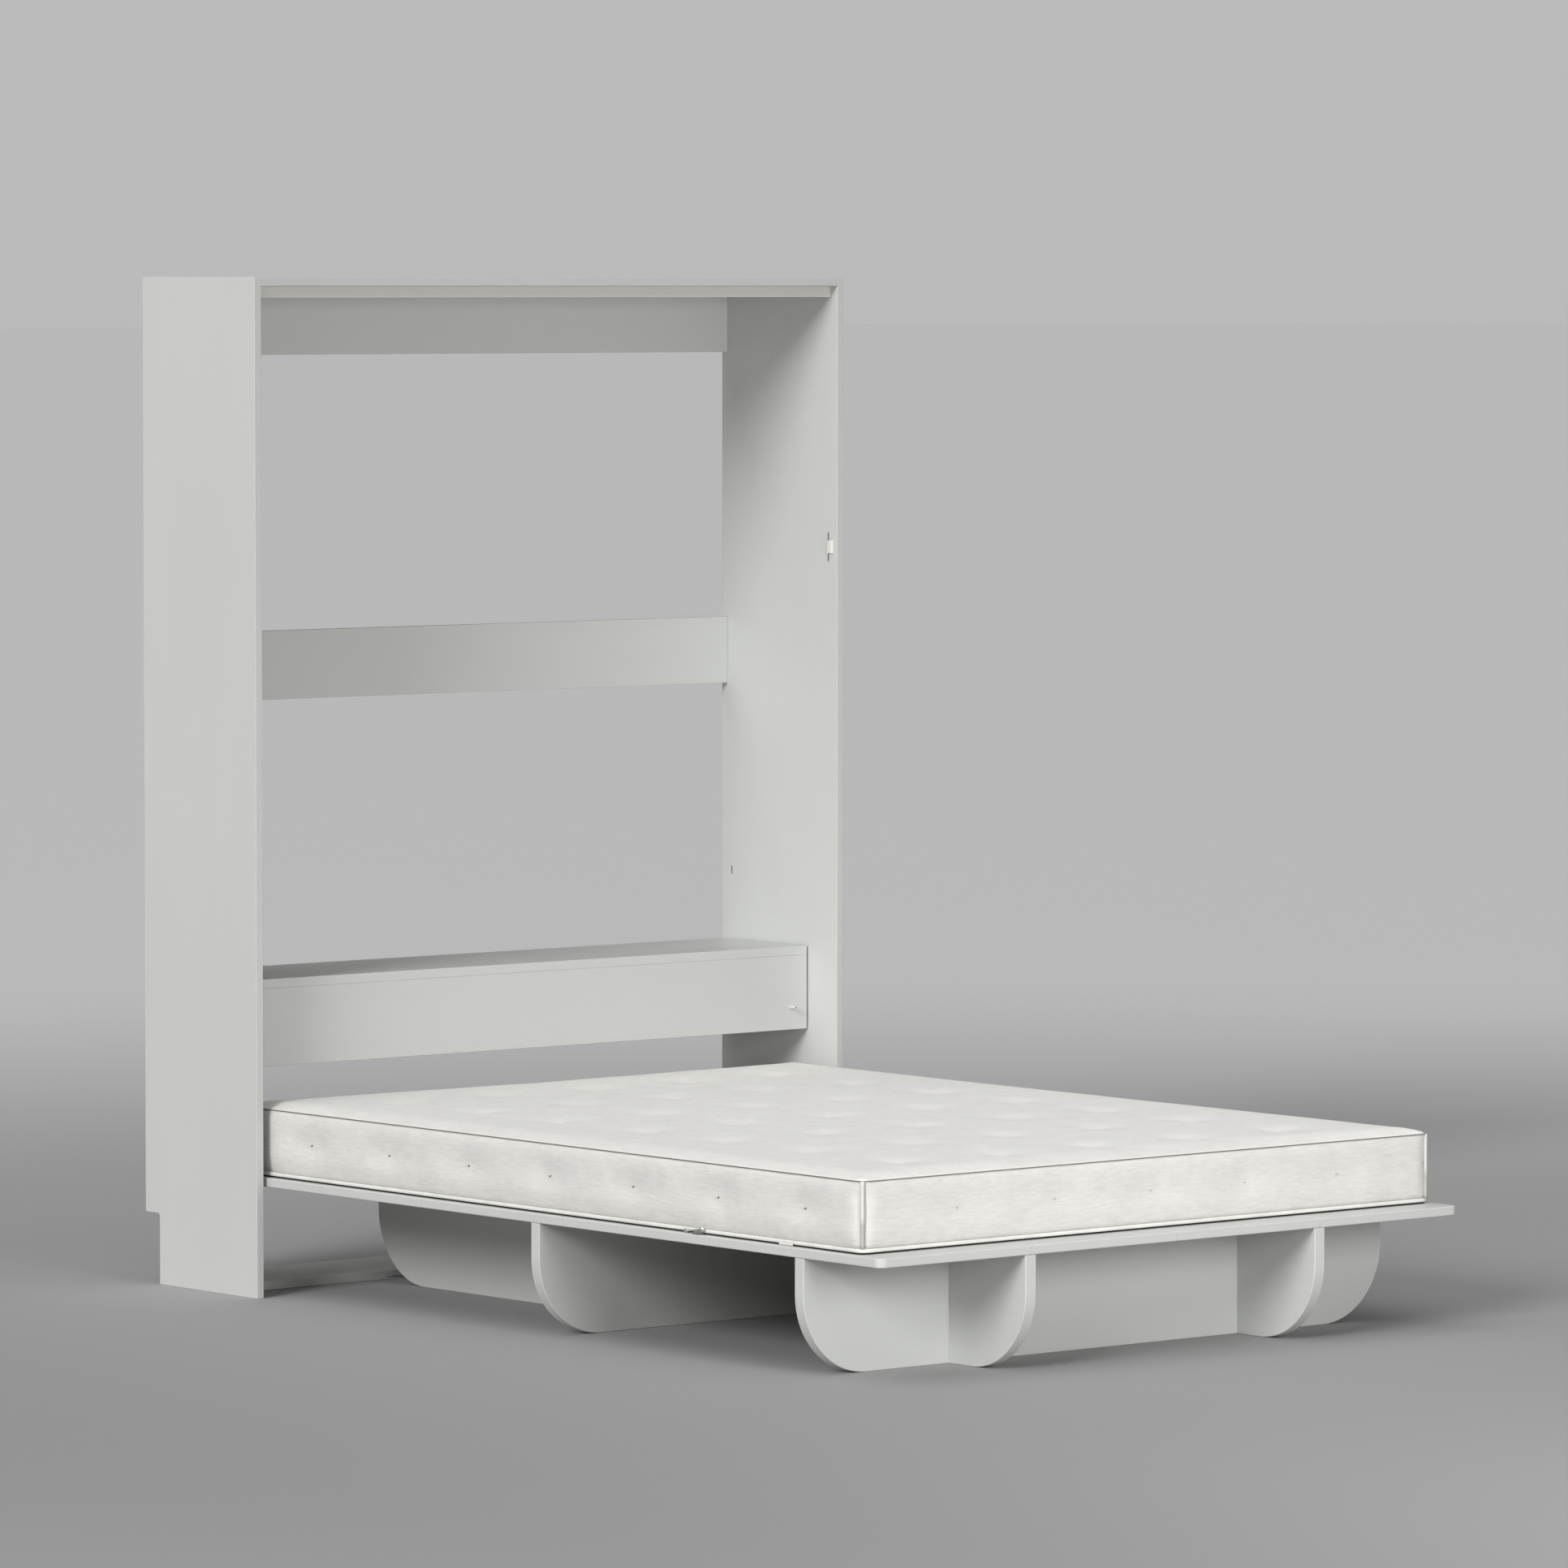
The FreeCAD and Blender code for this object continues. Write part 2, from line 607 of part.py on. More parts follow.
def pivot_bush():
    """Flanged bush, pressed into the long leg from its inner face."""
    bore = size_of("pin_radius") + size_of("pin_clearance")
    flange = rod((lengthwise_inner.value - BUSH_FLANGE, eye[0], eye[1]), (1, 0, 0),
                 BUSH_FLANGE_RADIUS, BUSH_FLANGE)
    sleeve = rod((lengthwise_inner.value - 1, eye[0], eye[1]), (1, 0, 0), BUSH_RADIUS,
                 BUSH_DEPTH + 1 - 0.2)
    shape = flange.fuse(sleeve).removeSplitter()
    return shape.cut(rod((lengthwise_inner.value - 5, eye[0], eye[1]), (1, 0, 0), bore,
                         BUSH_DEPTH + 10))


pair("pivot_bracket", pivot_bracket())
pair("pivot_bolt", pivot_bolt())

washer = rod((upright_high, eye[0], eye[1]), (1, 0, 0), WASHER_RADIUS, WASHER_THICKNESS)
washer = washer.cut(rod((upright_high - 1, eye[0], eye[1]), (1, 0, 0),
                        size_of("pin_radius") + 0.15, WASHER_THICKNESS + 2))
solid_piece("pivot_washers", Part.makeCompound([mirrored(washer), washer]))

bracket_screws = [screw((screw_x * side, y, 0), (0, 0, 1), *PIVOT_SCREW)
                  for side in (-1, 1) for y in screw_y]
solid_piece("pivot_bracket_screws", Part.makeCompound(bracket_screws))

for side in (-1, 1):
    groove = box_outline((side * (base_low - 0.4), floor_board_front - 5),
                         (side * (upright_high + 0.4), base_back + 0.4))
    floor_board.slot("z", 0, 1, groove, BASE_HEIGHT + 0.2)
    floor_board.drill("z", 0, 1, [(screw_x * side, y) for y in screw_y],
                      PIVOT_SCREW[0] + FITTING_PLAY, PIVOT_SCREW[2] + 0.4)


# ---------------------------------------------------------------- catches in the cabinet

def striker_strip():
    """Steel strip let into the side panel; its edge stands out as a low lip."""
    face = inner.value
    return block((face - size_of("striker_lip"), face + STRIKER_DEPTH),
                 (striker_front.value, striker_back.value),
                 (striker_low.value, striker_high.value))


def catch_block():
    """Nylon block in front of the striker, which centres the deck's edge, on two pegs."""
    face = inner.value
    outer_face = face - CATCH_BLOCK_LIFT
    y_low = catch_back.value - CATCH_BLOCK_DEPTH
    shape = block((outer_face, face), (y_low, catch_back.value),
                  (catch_low.value, catch_low.value + CATCH_BLOCK_HEIGHT))
    ramp = [edge for edge in shape.Edges if is_along(edge, "z")
            and abs(edge.BoundBox.Center.x - outer_face) < 0.01
            and abs(edge.BoundBox.Center.y - y_low) < 0.01]
    shape = shape.makeChamfer(CATCH_BLOCK_LIFT * 0.6, ramp)
    free = [edge for edge in shape.Edges if edge.BoundBox.XMin < face - 0.01]
    shape = shape.makeFillet(0.6, free)
    pegs = [rod((face - 1, y.value, z.value), (1, 0, 0), CATCH_PEG_RADIUS,
                CATCH_PEG_LENGTH + 1) for y, z in CATCH_PEGS]
    return shape.fuse(pegs).removeSplitter()


def slot_blank():
    """Dark plastic blank that closes the short slot in the side panel."""
    (y_low, z_low), (y_high, z_high) = BLANKED_SLOT
    return block((inner.value + 0.2, inner.value + BLANKED_DEPTH), (y_low.value, y_high.value),
                 (z_low, z_high))


pair("catch_plate", striker_strip())
pair("catch_block", catch_block())
solid_piece("slot_blanks", Part.makeCompound([mirrored(slot_blank()), slot_blank()]))


# ---------------------------------------------------------------- headboard

shelf_end = inner - dims["shelf_gap"]
shelf_front = wall - dims["shelf_depth"]
shelf_under = dims["shelf_top"] - dims["shelf_thickness"]
shelf_back = rail_front - 0.5
front_board_back = shelf_front + dims["shelf_thickness"]
tip_axis = (wall.value - size_of("headboard_tip_y"), size_of("headboard_tip_z"))

KNOB = (736.0, 528.5)           # X and Z of the knob on the front board
KNOB_RADIUS = 4.6
KNOB_STICKS_OUT = 18.0
KNOB_BURIED = 14.0
KNOB_STEM_RADIUS = 3.0
KNOB_SOCKET_RADIUS = 1.9
KNOB_SOCKET_DEPTH = 4.0

shelf_board = plank("headboard_shelf_board", (-shelf_end, shelf_end),
                    (shelf_front, shelf_back), (shelf_under, dims["shelf_top"]))
front_board = plank("headboard_front_board", (-shelf_end, shelf_end),
                    (shelf_front, front_board_back), (dims["shelf_low"], shelf_under))
front_board.drill("y", shelf_front, 1, [KNOB], KNOB_STEM_RADIUS + FITTING_PLAY,
                  KNOB_BURIED + 0.2)

CORNER_BLOCKS_X = (-690.0, -230.0, 230.0, 690.0)
CORNER_BLOCK = (90.0, 32.0)     # length and section
BLOCK_SCREW = (2.0, 4.0, 44.0)  # shank radius, head radius, length
BLOCK_SCREW_OFFSET = 22.0       # middle of the block to each screw, along X


def headboard_blocks():
    """Glue blocks in the headboard's inner corner, with a screw into each board."""
    blocks, screws = [], []
    length, section = CORNER_BLOCK
    y_low = front_board_back.value + 0.05
    z_high = shelf_under.value - 0.05
    for x in CORNER_BLOCKS_X:
        cube = block((x - length / 2, x + length / 2), (y_low, y_low + section),
                     (z_high - section, z_high))
        cube = softened(cube, 1.0)
        up = ((x - BLOCK_SCREW_OFFSET, y_low + section / 2, z_high - section), (0, 0, 1))
        forward = ((x + BLOCK_SCREW_OFFSET, y_low + section, z_high - section / 2), (0, -1, 0))
        for place, direction in (up, forward):
            cube = cube.cut(screw_hole(place, direction, *BLOCK_SCREW))
            screws.append(screw(place, direction, *BLOCK_SCREW))
        blocks.append(cube)
    solid_piece("headboard_corner_blocks", Part.makeCompound(blocks))
    solid_piece("headboard_block_screws", Part.makeCompound(screws))
    reach = BLOCK_SCREW[2] - section + 0.3
    half = section / 2
    shelf_board.drill("z", shelf_under, 1,
                      [(x - BLOCK_SCREW_OFFSET, y_low + half) for x in CORNER_BLOCKS_X],
                      BLOCK_SCREW[0] + FITTING_PLAY, reach)
    front_board.drill("y", front_board_back, -1,
                      [(x + BLOCK_SCREW_OFFSET, z_high - half) for x in CORNER_BLOCKS_X],
                      BLOCK_SCREW[0] + FITTING_PLAY, reach)


headboard_blocks()


def headboard_knob():
    """Turned peg with a socket in its end, used to tip the headboard by hand."""
    x, z = KNOB
    y = shelf_front.value
    peg = rod((x, y, z), (0, -1, 0), KNOB_RADIUS, KNOB_STICKS_OUT)
    rim = [edge for edge in peg.Edges if edge.BoundBox.YMax < y - 1 and len(edge.Vertexes) == 1]
    peg = peg.makeFillet(1.2, rim)
    stem = rod((x, y - 1, z), (0, 1, 0), KNOB_STEM_RADIUS, KNOB_BURIED + 1)
    peg = peg.fuse(stem).removeSplitter()
    return peg.cut(rod((x, y - KNOB_STICKS_OUT - 1, z), (0, 1, 0), KNOB_SOCKET_RADIUS,
                       KNOB_SOCKET_DEPTH + 1))


solid_piece("headboard_knob", headboard_knob())

HINGE_X = 480.0
HINGE_LENGTH = 80.0
LEAF_THICKNESS = 2.0
LEAF_WIDTH = 34.0
KNUCKLES = 5
HINGE_SCREW = (1.7, 3.3, 15.0)
HINGE_SCREW_X = (-30.0, 0.0, 30.0)
PIN_HEAD_RADIUS = 3.4
PIN_HEAD_LENGTH = 1.5
knuckle_length = HINGE_LENGTH / KNUCKLES


def hinge_leaf(fixed):
    """A butt hinge leaf with its own knuckles; the fixed leaf has one more of them."""
    y, z = tip_axis
    radius = size_of("knuckle_radius")
    x_low = HINGE_X - HINGE_LENGTH / 2
    clear = radius + 0.4
    if fixed:
        y_high = rail_front.value
        plate = block((x_low, x_low + HINGE_LENGTH), (y_high - LEAF_THICKNESS, y_high),
                      (z - clear - LEAF_WIDTH, z - clear))
    else:
        z_high = shelf_under.value - 0.1
        plate = block((x_low, x_low + HINGE_LENGTH), (y - clear - LEAF_WIDTH, y - clear),
                      (z_high - LEAF_THICKNESS, z_high))
    shape = plate
    for number in range(KNUCKLES):
        if (number % 2 == 0) != fixed:
            continue
        low = x_low + number * knuckle_length + 0.15
        length = knuckle_length - 0.3
        barrel = rod((low, y, z), (1, 0, 0), radius, length)
        if fixed:
            tab = block((low, low + length), (y_high - LEAF_THICKNESS, y_high),
                        (z - clear - 1, z))
            barrel = barrel.common(block((low, low + length), (y - radius, y_high),
                                         (z - radius, z + radius)))
        else:
            tab = block((low, low + length), (y - clear - 1, y),
                        (z_high - LEAF_THICKNESS, z_high))
        shape = shape.fuse([tab, barrel])
    bore = size_of("hinge_pin_radius") + 0.05
    shape = shape.removeSplitter().cut(rod((x_low - 1, y, z), (1, 0, 0), bore, HINGE_LENGTH + 2))
    for place, direction in hinge_screw_places(fixed):
        shape = shape.cut(screw_hole(place, direction, *HINGE_SCREW))
    return shape


def hinge_screw_places(fixed):
    """Head places and directions of one leaf's screws."""
    y, z = tip_axis
    reach = size_of("knuckle_radius") + 0.4 + LEAF_WIDTH / 2
    for offset in HINGE_SCREW_X:
        x = HINGE_X + offset
        if fixed:
            yield (x, rail_front.value - LEAF_THICKNESS, z - reach), (0, 1, 0)
        else:
            yield (x, y - reach, shelf_under.value - 0.1 - LEAF_THICKNESS), (0, 0, 1)


def hinge_pin():
    """Hinge pin with a small head at each end."""
    y, z = tip_axis
    low = HINGE_X - HINGE_LENGTH / 2
    radius = size_of("hinge_pin_radius")
    pin = rod((low - 1.5, y, z), (1, 0, 0), radius, HINGE_LENGTH + 3)
    heads = [rod((low - PIN_HEAD_LENGTH - 0.5, y, z), (1, 0, 0), PIN_HEAD_RADIUS,
                 PIN_HEAD_LENGTH),
             rod((low + HINGE_LENGTH + 0.5, y, z), (1, 0, 0), PIN_HEAD_RADIUS,
                 PIN_HEAD_LENGTH)]
    return pin.fuse(heads).removeSplitter()


pair("headboard_hinge_fixed_leaf", hinge_leaf(True))
pair("headboard_hinge_pin", hinge_pin())
pair("headboard_hinge_moving_leaf", hinge_leaf(False))

for fixed, label in ((True, "hinge_rail_screws"), (False, "hinge_shelf_screws")):
    solids = [screw(place, direction, *HINGE_SCREW)
              for place, direction in hinge_screw_places(fixed)]
    solids += [mirrored(one) for one in solids]
    solid_piece(label, Part.makeCompound(solids))

hinge_holes_x = [side * (HINGE_X + offset) for side in (-1, 1) for offset in HINGE_SCREW_X]
leaf_reach = size_of("knuckle_radius") + 0.4 + LEAF_WIDTH / 2
hinge_rail.drill("y", rail_front, 1, [(x, tip_axis[1] - leaf_reach) for x in hinge_holes_x],
                 HINGE_SCREW[0] + FITTING_PLAY, HINGE_SCREW[2] - LEAF_THICKNESS + 0.3)
shelf_board.drill("z", shelf_under, 1, [(x, tip_axis[0] - leaf_reach) for x in hinge_holes_x],
                  HINGE_SCREW[0] + FITTING_PLAY, HINGE_SCREW[2] - LEAF_THICKNESS + 0.3)


# ---------------------------------------------------------------- bed deck and legs

half = dims["deck_half_width"]
seam = half / 2
half_gap = dims["plank_gap"] / 2
leg_t = dims["leg_thickness"]
play = dims["lap_clearance"]
foot_cross_leg = foot + dims["foot_leg_front"]
foot_leg_back = foot_cross_leg + leg_t + dims["foot_leg_front"]
middle_leg = foot + dims["middle_leg_front"]
lap_height = deck_low / 2


def deck_plank(number, low, high):
    """One of the four lengthwise planks; the outer two have a rounded foot corner."""
    label = f"deck_plank_{number}"
    board = Board(label, "z", deck_low, dims["deck_top"],
                  box_outline((low, foot), (high, deck_head)))
    for side in (-1, 1):
        corner = half * side
        if all(abs(corner.value - formula(edge).value) > 1 for edge in (low, high)):
            continue
        board.round(dims["deck_round"],
                    lambda edge: is_along(edge, "z") and passes(edge, x=corner, y=foot))
    return board.round(dims["deck_arris"],
                       lambda edge: not is_along(edge, "z") and edge.BoundBox.ZLength < 1)


planks = [
    deck_plank(1, -half, -seam - half_gap),
    deck_plank(2, -seam + half_gap, -half_gap),
    deck_plank(3, half_gap, seam - half_gap),
    deck_plank(4, seam + half_gap, half),
]


def lengthwise_leg(label, side, y_low, y_high, rounded):
    """A lengthwise leg board whose lower corners at the rounded ends are round."""
    low, high = (lengthwise_inner, dims["lengthwise_leg_outer"])
    if side < 0:
        low, high = -high, -low
    outline = [(y_low, 0), (y_high, 0), (y_high, deck_low), (y_low, deck_low)]
    leg = Board(label, "x", low, high, outline)
    leg.round(dims["leg_round"], lambda edge: is_along(edge, "x") and any(
        passes(edge, y=end, z=0) for end in rounded))
    return leg.round(dims["leg_arris"], lambda edge: not is_along(edge, "x"))


def head_leg(label, side):
    """Leg board from the middle cross leg to the head, which carries the pivot bush."""
    leg = lengthwise_leg(label, side, middle_leg + leg_t, leg_head, [leg_head])
    return leg.drill("x", lengthwise_inner * side, side, [(pivot_y, pivot_z)],
                     BUSH_RADIUS + FITTING_PLAY, BUSH_DEPTH)


def foot_leg(label, side):
    """Short leg board that crosses the foot cross leg, slotted from below to pass it."""
    leg = lengthwise_leg(label, side, foot, foot_leg_back, [foot, foot_leg_back])
    low = lengthwise_inner if side > 0 else -dims["lengthwise_leg_outer"]
    return leg.slot("x", low - 1, 1, box_outline(
        (foot_cross_leg - play, -1), (foot_cross_leg + leg_t + play, lap_height + play)),
        leg_t + 2)


def cross_leg(label, y_front):
    """A crosswise leg board with round lower corners."""
    outline = [(-half, 0), (half, 0), (half, deck_low), (-half, deck_low)]
    leg = Board(label, "y", y_front, y_front + leg_t, outline)
    leg.round(dims["leg_round"], lambda edge: is_along(edge, "y") and (
        passes(edge, x=-half, z=0) or passes(edge, x=half, z=0)))
    return leg.round(dims["leg_arris"], lambda edge: not is_along(edge, "y"))


def lap_slots(leg, y_front):
    """Slots from above, where the short leg boards pass through a cross leg."""
    for side in (-1, 1):
        middle = (lengthwise_inner + leg_t / 2) * side
        leg.slot("y", y_front - 1, 1, box_outline(
            (middle - leg_t / 2 - play, lap_height), (middle + leg_t / 2 + play, deck_low + 1)),
            leg_t + 2)
    return leg


head_legs = {-1: head_leg("head_leg_left", -1), 1: head_leg("head_leg_right", 1)}
foot_legs = {-1: foot_leg("foot_leg_left", -1), 1: foot_leg("foot_leg_right", 1)}
cross_legs = [lap_slots(cross_leg("cross_leg_foot", foot_cross_leg), foot_cross_leg),
              cross_leg("cross_leg_middle", middle_leg)]
pair("pivot_bush", pivot_bush())

BATTEN_HALF_WIDTH = 30.0
BATTEN_THICKNESS = 18.0
BATTEN_END_GAP = 0.5
BATTEN_FROM_HEAD = 30.0
batten_z = (deck_low - BATTEN_THICKNESS, deck_low)
plank("deck_batten_middle", (-BATTEN_HALF_WIDTH, BATTEN_HALF_WIDTH),
      (foot_cross_leg + leg_t + BATTEN_END_GAP, middle_leg - BATTEN_END_GAP), batten_z)
plank("deck_batten_head", (-BATTEN_HALF_WIDTH, BATTEN_HALF_WIDTH),
      (middle_leg + leg_t + BATTEN_END_GAP, deck_head - BATTEN_FROM_HEAD), batten_z)

BRACKET_SIZE = 38.0
BRACKET_WIDTH = 40.0
BRACKET_THICKNESS = 2.5
BRACKET_SCREW = (2.0, 3.8, 16.0)
CROSS_BRACKETS_X = (-600.0, -200.0, 200.0, 600.0)
HEAD_BRACKETS_Y = (60.0, 450.0)


def leg_bracket(corner, out):
    """A steel angle under the deck against a leg face, and its two screws.

    corner is the middle of the inner corner line, and out the way the leg's face looks.
    """
    x, y, z = corner
    along = Vector(-out[1], out[0], 0)
    face = Vector(*out)
    origin = Vector(x, y, z) - along * (BRACKET_WIDTH / 2)
    drop = Vector(0, 0, BRACKET_THICKNESS)
    profile = [Vector(0, 0, 0), face * BRACKET_SIZE, face * BRACKET_SIZE - drop,
               face * BRACKET_THICKNESS - drop,
               face * BRACKET_THICKNESS + Vector(0, 0, -BRACKET_SIZE),
               Vector(0, 0, -BRACKET_SIZE), Vector(0, 0, 0)]
    outline = Part.makePolygon([origin + point for point in profile])
    shape = Part.Face(outline).extrude(along * BRACKET_WIDTH)
    reach = BRACKET_SIZE * 0.6
    places = [(Vector(x, y, z) + face * reach + Vector(0, 0, -BRACKET_THICKNESS), (0, 0, 1)),
              (Vector(x, y, z) + face * BRACKET_THICKNESS + Vector(0, 0, -reach),
               tuple(-face))]
    screws = []
    for place, direction in places:
        shape = shape.cut(screw_hole(tuple(place), direction, *BRACKET_SCREW))
        screws.append(screw(tuple(place), direction, *BRACKET_SCREW))
    return shape, screws


def leg_brackets():
    """All the angles under the deck, and the holes for their screws."""
    brackets, screws = [], []
    z = deck_low.value - 0.05
    reach = BRACKET_SIZE * 0.6
    depth = BRACKET_SCREW[2] - BRACKET_THICKNESS + 0.3
    radius = BRACKET_SCREW[0] + FITTING_PLAY
    deck_holes = []
    for leg, y_front in zip(cross_legs, (foot_cross_leg, middle_leg)):
        back = (y_front + leg_t).value + 0.05
        for x in CROSS_BRACKETS_X:
            shape, pair_of_screws = leg_bracket((x, back, z), (0, 1, 0))
            brackets.append(shape)
            screws += pair_of_screws
            deck_holes.append((x, back + reach))
        leg.drill("y", y_front + leg_t, -1, [(x, z - reach) for x in CROSS_BRACKETS_X],
                  radius, depth)
    foot_brackets_y = [(foot_cross_leg + leg_t).value + dims["foot_leg_front"].value / 2]
    for legs, places_y in ((head_legs, HEAD_BRACKETS_Y), (foot_legs, foot_brackets_y)):
        for side, leg in legs.items():
            face = (dims["lengthwise_leg_outer"] if side > 0 else -lengthwise_inner).value
            for y in places_y:
                shape, pair_of_screws = leg_bracket((face + 0.05, y, z), (1, 0, 0))
                brackets.append(shape)
                screws += pair_of_screws
                deck_holes.append((face + 0.05 + reach, y))
            leg.drill("x", face, -1, [(y, z - reach) for y in places_y], radius, depth)
    for number, board in enumerate(planks):
        low = -half.value + number * seam.value
        own = [(x, y) for x, y in deck_holes if low < x < low + seam.value]
        board.drill("z", deck_low, 1, own, radius, depth)
    solid_piece("leg_brackets", Part.makeCompound(brackets))
    return screws


bracket_screw_solids = leg_brackets()


# ---------------------------------------------------------------- mattress and its tabs

mattress_foot = foot + dims["mattress_foot_gap"]
mattress_head = mattress_foot + dims["mattress_length"]
mattress_low = dims["deck_top"] + 0.3
mattress_half = dims["mattress_half_width"]

mattress = Board("mattress", "z", mattress_low, mattress_low + dims["mattress_height"],
                 box_outline((-mattress_half, mattress_foot), (mattress_half, mattress_head)))
mattress.round(dims["mattress_round"], lambda edge: is_along(edge, "z"))
mattress.round(dims["mattress_arris"],
               lambda edge: not is_along(edge, "z") and edge.BoundBox.ZLength < 1)

TAB_Y = (-919.0, -878.0)
tab = block((mattress_half.value + 0.6, mattress_half.value + 7.0), TAB_Y,
            (dims["deck_top"].value + 0.3, dims["deck_top"].value + 6.5))
pair("mattress_strap_tab", softened(tab, 1.0))


# ---------------------------------------------------------------- latches on the deck

latch_y = foot.value + size_of("latch_from_foot")
latch_x = half.value - 7.0
latch_pivot_y = latch_y + size_of("latch_reach")
LATCH_LOW = dims["deck_top"].value + 0.05
LEVER_RADIUS = 1.4
PIVOT_RADIUS = 2.0
LATCH_SCREW = (1.4, 2.4, 14.0)
LATCH_BASE_HEIGHT = 4.2
LATCH_BASE_HALF_WIDTH = 5.5
LATCH_BASE_Y = (latch_y + 4.0, latch_y + 26.0)
EYE_RING_RADIUS = 4.4
EYE_RING_HEIGHT = 5.0
PIN_DEPTH = 14.0                # of the pivot pin in the deck
PIN_COLLAR = (4.0, 1.3)         # radius and height under the lever's eye
PIN_CAP = (3.6, 1.4)            # radius and height over the lever's eye
latch_screw_y = (LATCH_BASE_Y[0] + 5.0, LATCH_BASE_Y[1] - 5.0)
latch_base_top = LATCH_LOW + LATCH_BASE_HEIGHT


def latch_base():
    """Small zinc block that the ball rests over, screwed to the deck's edge."""
    shape = block((latch_x - LATCH_BASE_HALF_WIDTH, latch_x + LATCH_BASE_HALF_WIDTH),
                  LATCH_BASE_Y, (LATCH_LOW, latch_base_top))
    shape = softened(shape, 0.8)
    for y in latch_screw_y:
        shape = shape.cut(screw_hole((latch_x, y, latch_base_top), (0, 0, -1), *LATCH_SCREW))
    return shape


def latch_lever():
    """Bright wire lever with a ball at one end and an eye at the other."""
    ball_z = size_of("latch_ball_height")
    eye_z = LATCH_LOW + 4.0
    ball = Part.makeSphere(size_of("latch_ball_radius"), Vector(latch_x, latch_y, ball_z))
    eye_ring = rod((latch_x, latch_pivot_y, eye_z - EYE_RING_HEIGHT / 2), (0, 0, 1),
                   EYE_RING_RADIUS, EYE_RING_HEIGHT)
    start = Vector(latch_x, latch_y, ball_z)
    end = Vector(latch_x, latch_pivot_y, eye_z)
    wire = Part.makeCylinder(LEVER_RADIUS, (end - start).Length, start, end - start)
    shape = ball.fuse([wire, eye_ring]).removeSplitter()
    return shape.cut(rod((latch_x, latch_pivot_y, eye_z - EYE_RING_HEIGHT), (0, 0, 1),
                         PIVOT_RADIUS + 0.05, 2 * EYE_RING_HEIGHT))


def latch_pivot_pin():
    """Headed pin that the lever turns on, driven into the deck."""
    cap_low = LATCH_LOW + PIN_COLLAR[1] + EYE_RING_HEIGHT + 0.4
    shank = rod((latch_x, latch_pivot_y, LATCH_LOW - PIN_DEPTH), (0, 0, 1), PIVOT_RADIUS,
                PIN_DEPTH + cap_low - LATCH_LOW + 0.3)
    collar = rod((latch_x, latch_pivot_y, LATCH_LOW), (0, 0, 1), *PIN_COLLAR)
    cap = rod((latch_x, latch_pivot_y, cap_low), (0, 0, 1), *PIN_CAP)
    return shank.fuse([collar, cap]).removeSplitter()


pair("latch_base", latch_base())
pair("latch_lever", latch_lever())
pair("latch_pivot_pin", latch_pivot_pin())

latch_screws = [screw((latch_x, y, latch_base_top), (0, 0, -1), *LATCH_SCREW)
                for y in latch_screw_y]
latch_screws += [mirrored(one) for one in latch_screws]
solid_piece("deck_screws", Part.makeCompound(bracket_screw_solids + latch_screws))

for side, board in ((-1, planks[0]), (1, planks[3])):
    board.drill("z", dims["deck_top"], -1, [(latch_x * side, y) for y in latch_screw_y],
                LATCH_SCREW[0] + FITTING_PLAY, LATCH_SCREW[2] - LATCH_BASE_HEIGHT + 0.4)
    board.drill("z", dims["deck_top"], -1, [(latch_x * side, latch_pivot_y)],
                PIVOT_RADIUS + FITTING_PLAY, PIN_DEPTH + 0.2)


# ---------------------------------------------------------------- checks and files

doc.recompute()
for thing in doc.Objects:
    if {"Invalid", "Error"} & set(thing.State):
        raise RuntimeError(f"{thing.Label} failed: {thing.State}")
for piece in PIECES:
    if piece.Shape.isNull() or not piece.Shape.isValid():
        raise RuntimeError(f"{piece.Label} has no valid shape")

os.makedirs("parts", exist_ok=True)
for piece in PIECES:
    piece.Shape.exportStep(f"parts/{piece.Label}.step")
print(f"{len(PIECES)} pieces written")
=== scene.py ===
"""Looks of the folding wall bed: materials, light, camera and the soft mattress.

Everything is in metres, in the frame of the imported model: +X to the right seen from the
foot of the bed, +Y towards the wall, +Z up, with the origin on the floor.
"""

import json
import math

import bmesh
import bpy
from mathutils import Matrix, Vector
from mathutils.bvhtree import BVHTree


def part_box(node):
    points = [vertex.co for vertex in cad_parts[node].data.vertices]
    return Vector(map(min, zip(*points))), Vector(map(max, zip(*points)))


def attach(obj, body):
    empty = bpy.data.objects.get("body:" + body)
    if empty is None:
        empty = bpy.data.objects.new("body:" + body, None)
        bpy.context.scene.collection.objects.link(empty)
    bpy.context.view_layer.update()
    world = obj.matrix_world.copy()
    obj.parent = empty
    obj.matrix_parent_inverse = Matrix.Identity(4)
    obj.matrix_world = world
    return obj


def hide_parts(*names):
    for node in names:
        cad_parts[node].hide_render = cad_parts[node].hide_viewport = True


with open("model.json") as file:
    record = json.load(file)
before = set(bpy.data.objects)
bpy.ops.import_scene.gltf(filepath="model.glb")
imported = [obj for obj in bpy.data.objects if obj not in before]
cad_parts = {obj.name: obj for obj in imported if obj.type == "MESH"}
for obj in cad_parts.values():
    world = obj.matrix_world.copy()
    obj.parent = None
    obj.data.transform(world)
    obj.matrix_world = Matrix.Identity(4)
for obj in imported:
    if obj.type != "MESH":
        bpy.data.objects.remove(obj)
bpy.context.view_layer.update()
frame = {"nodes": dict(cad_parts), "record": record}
nodes = frame["nodes"]

MM = 0.001


# ---------------------------------------------------------------- camera

CAMERA_PLACE = Vector((-11.753, -14.102, 2.143))
CAMERA_YAW = math.radians(39.75)        # to the right of straight at the wall
CAMERA_PITCH = math.radians(3.28)       # below the horizon
CAMERA_ROLL = math.radians(0.03)
LENS = 202.45
SENSOR = 36.0


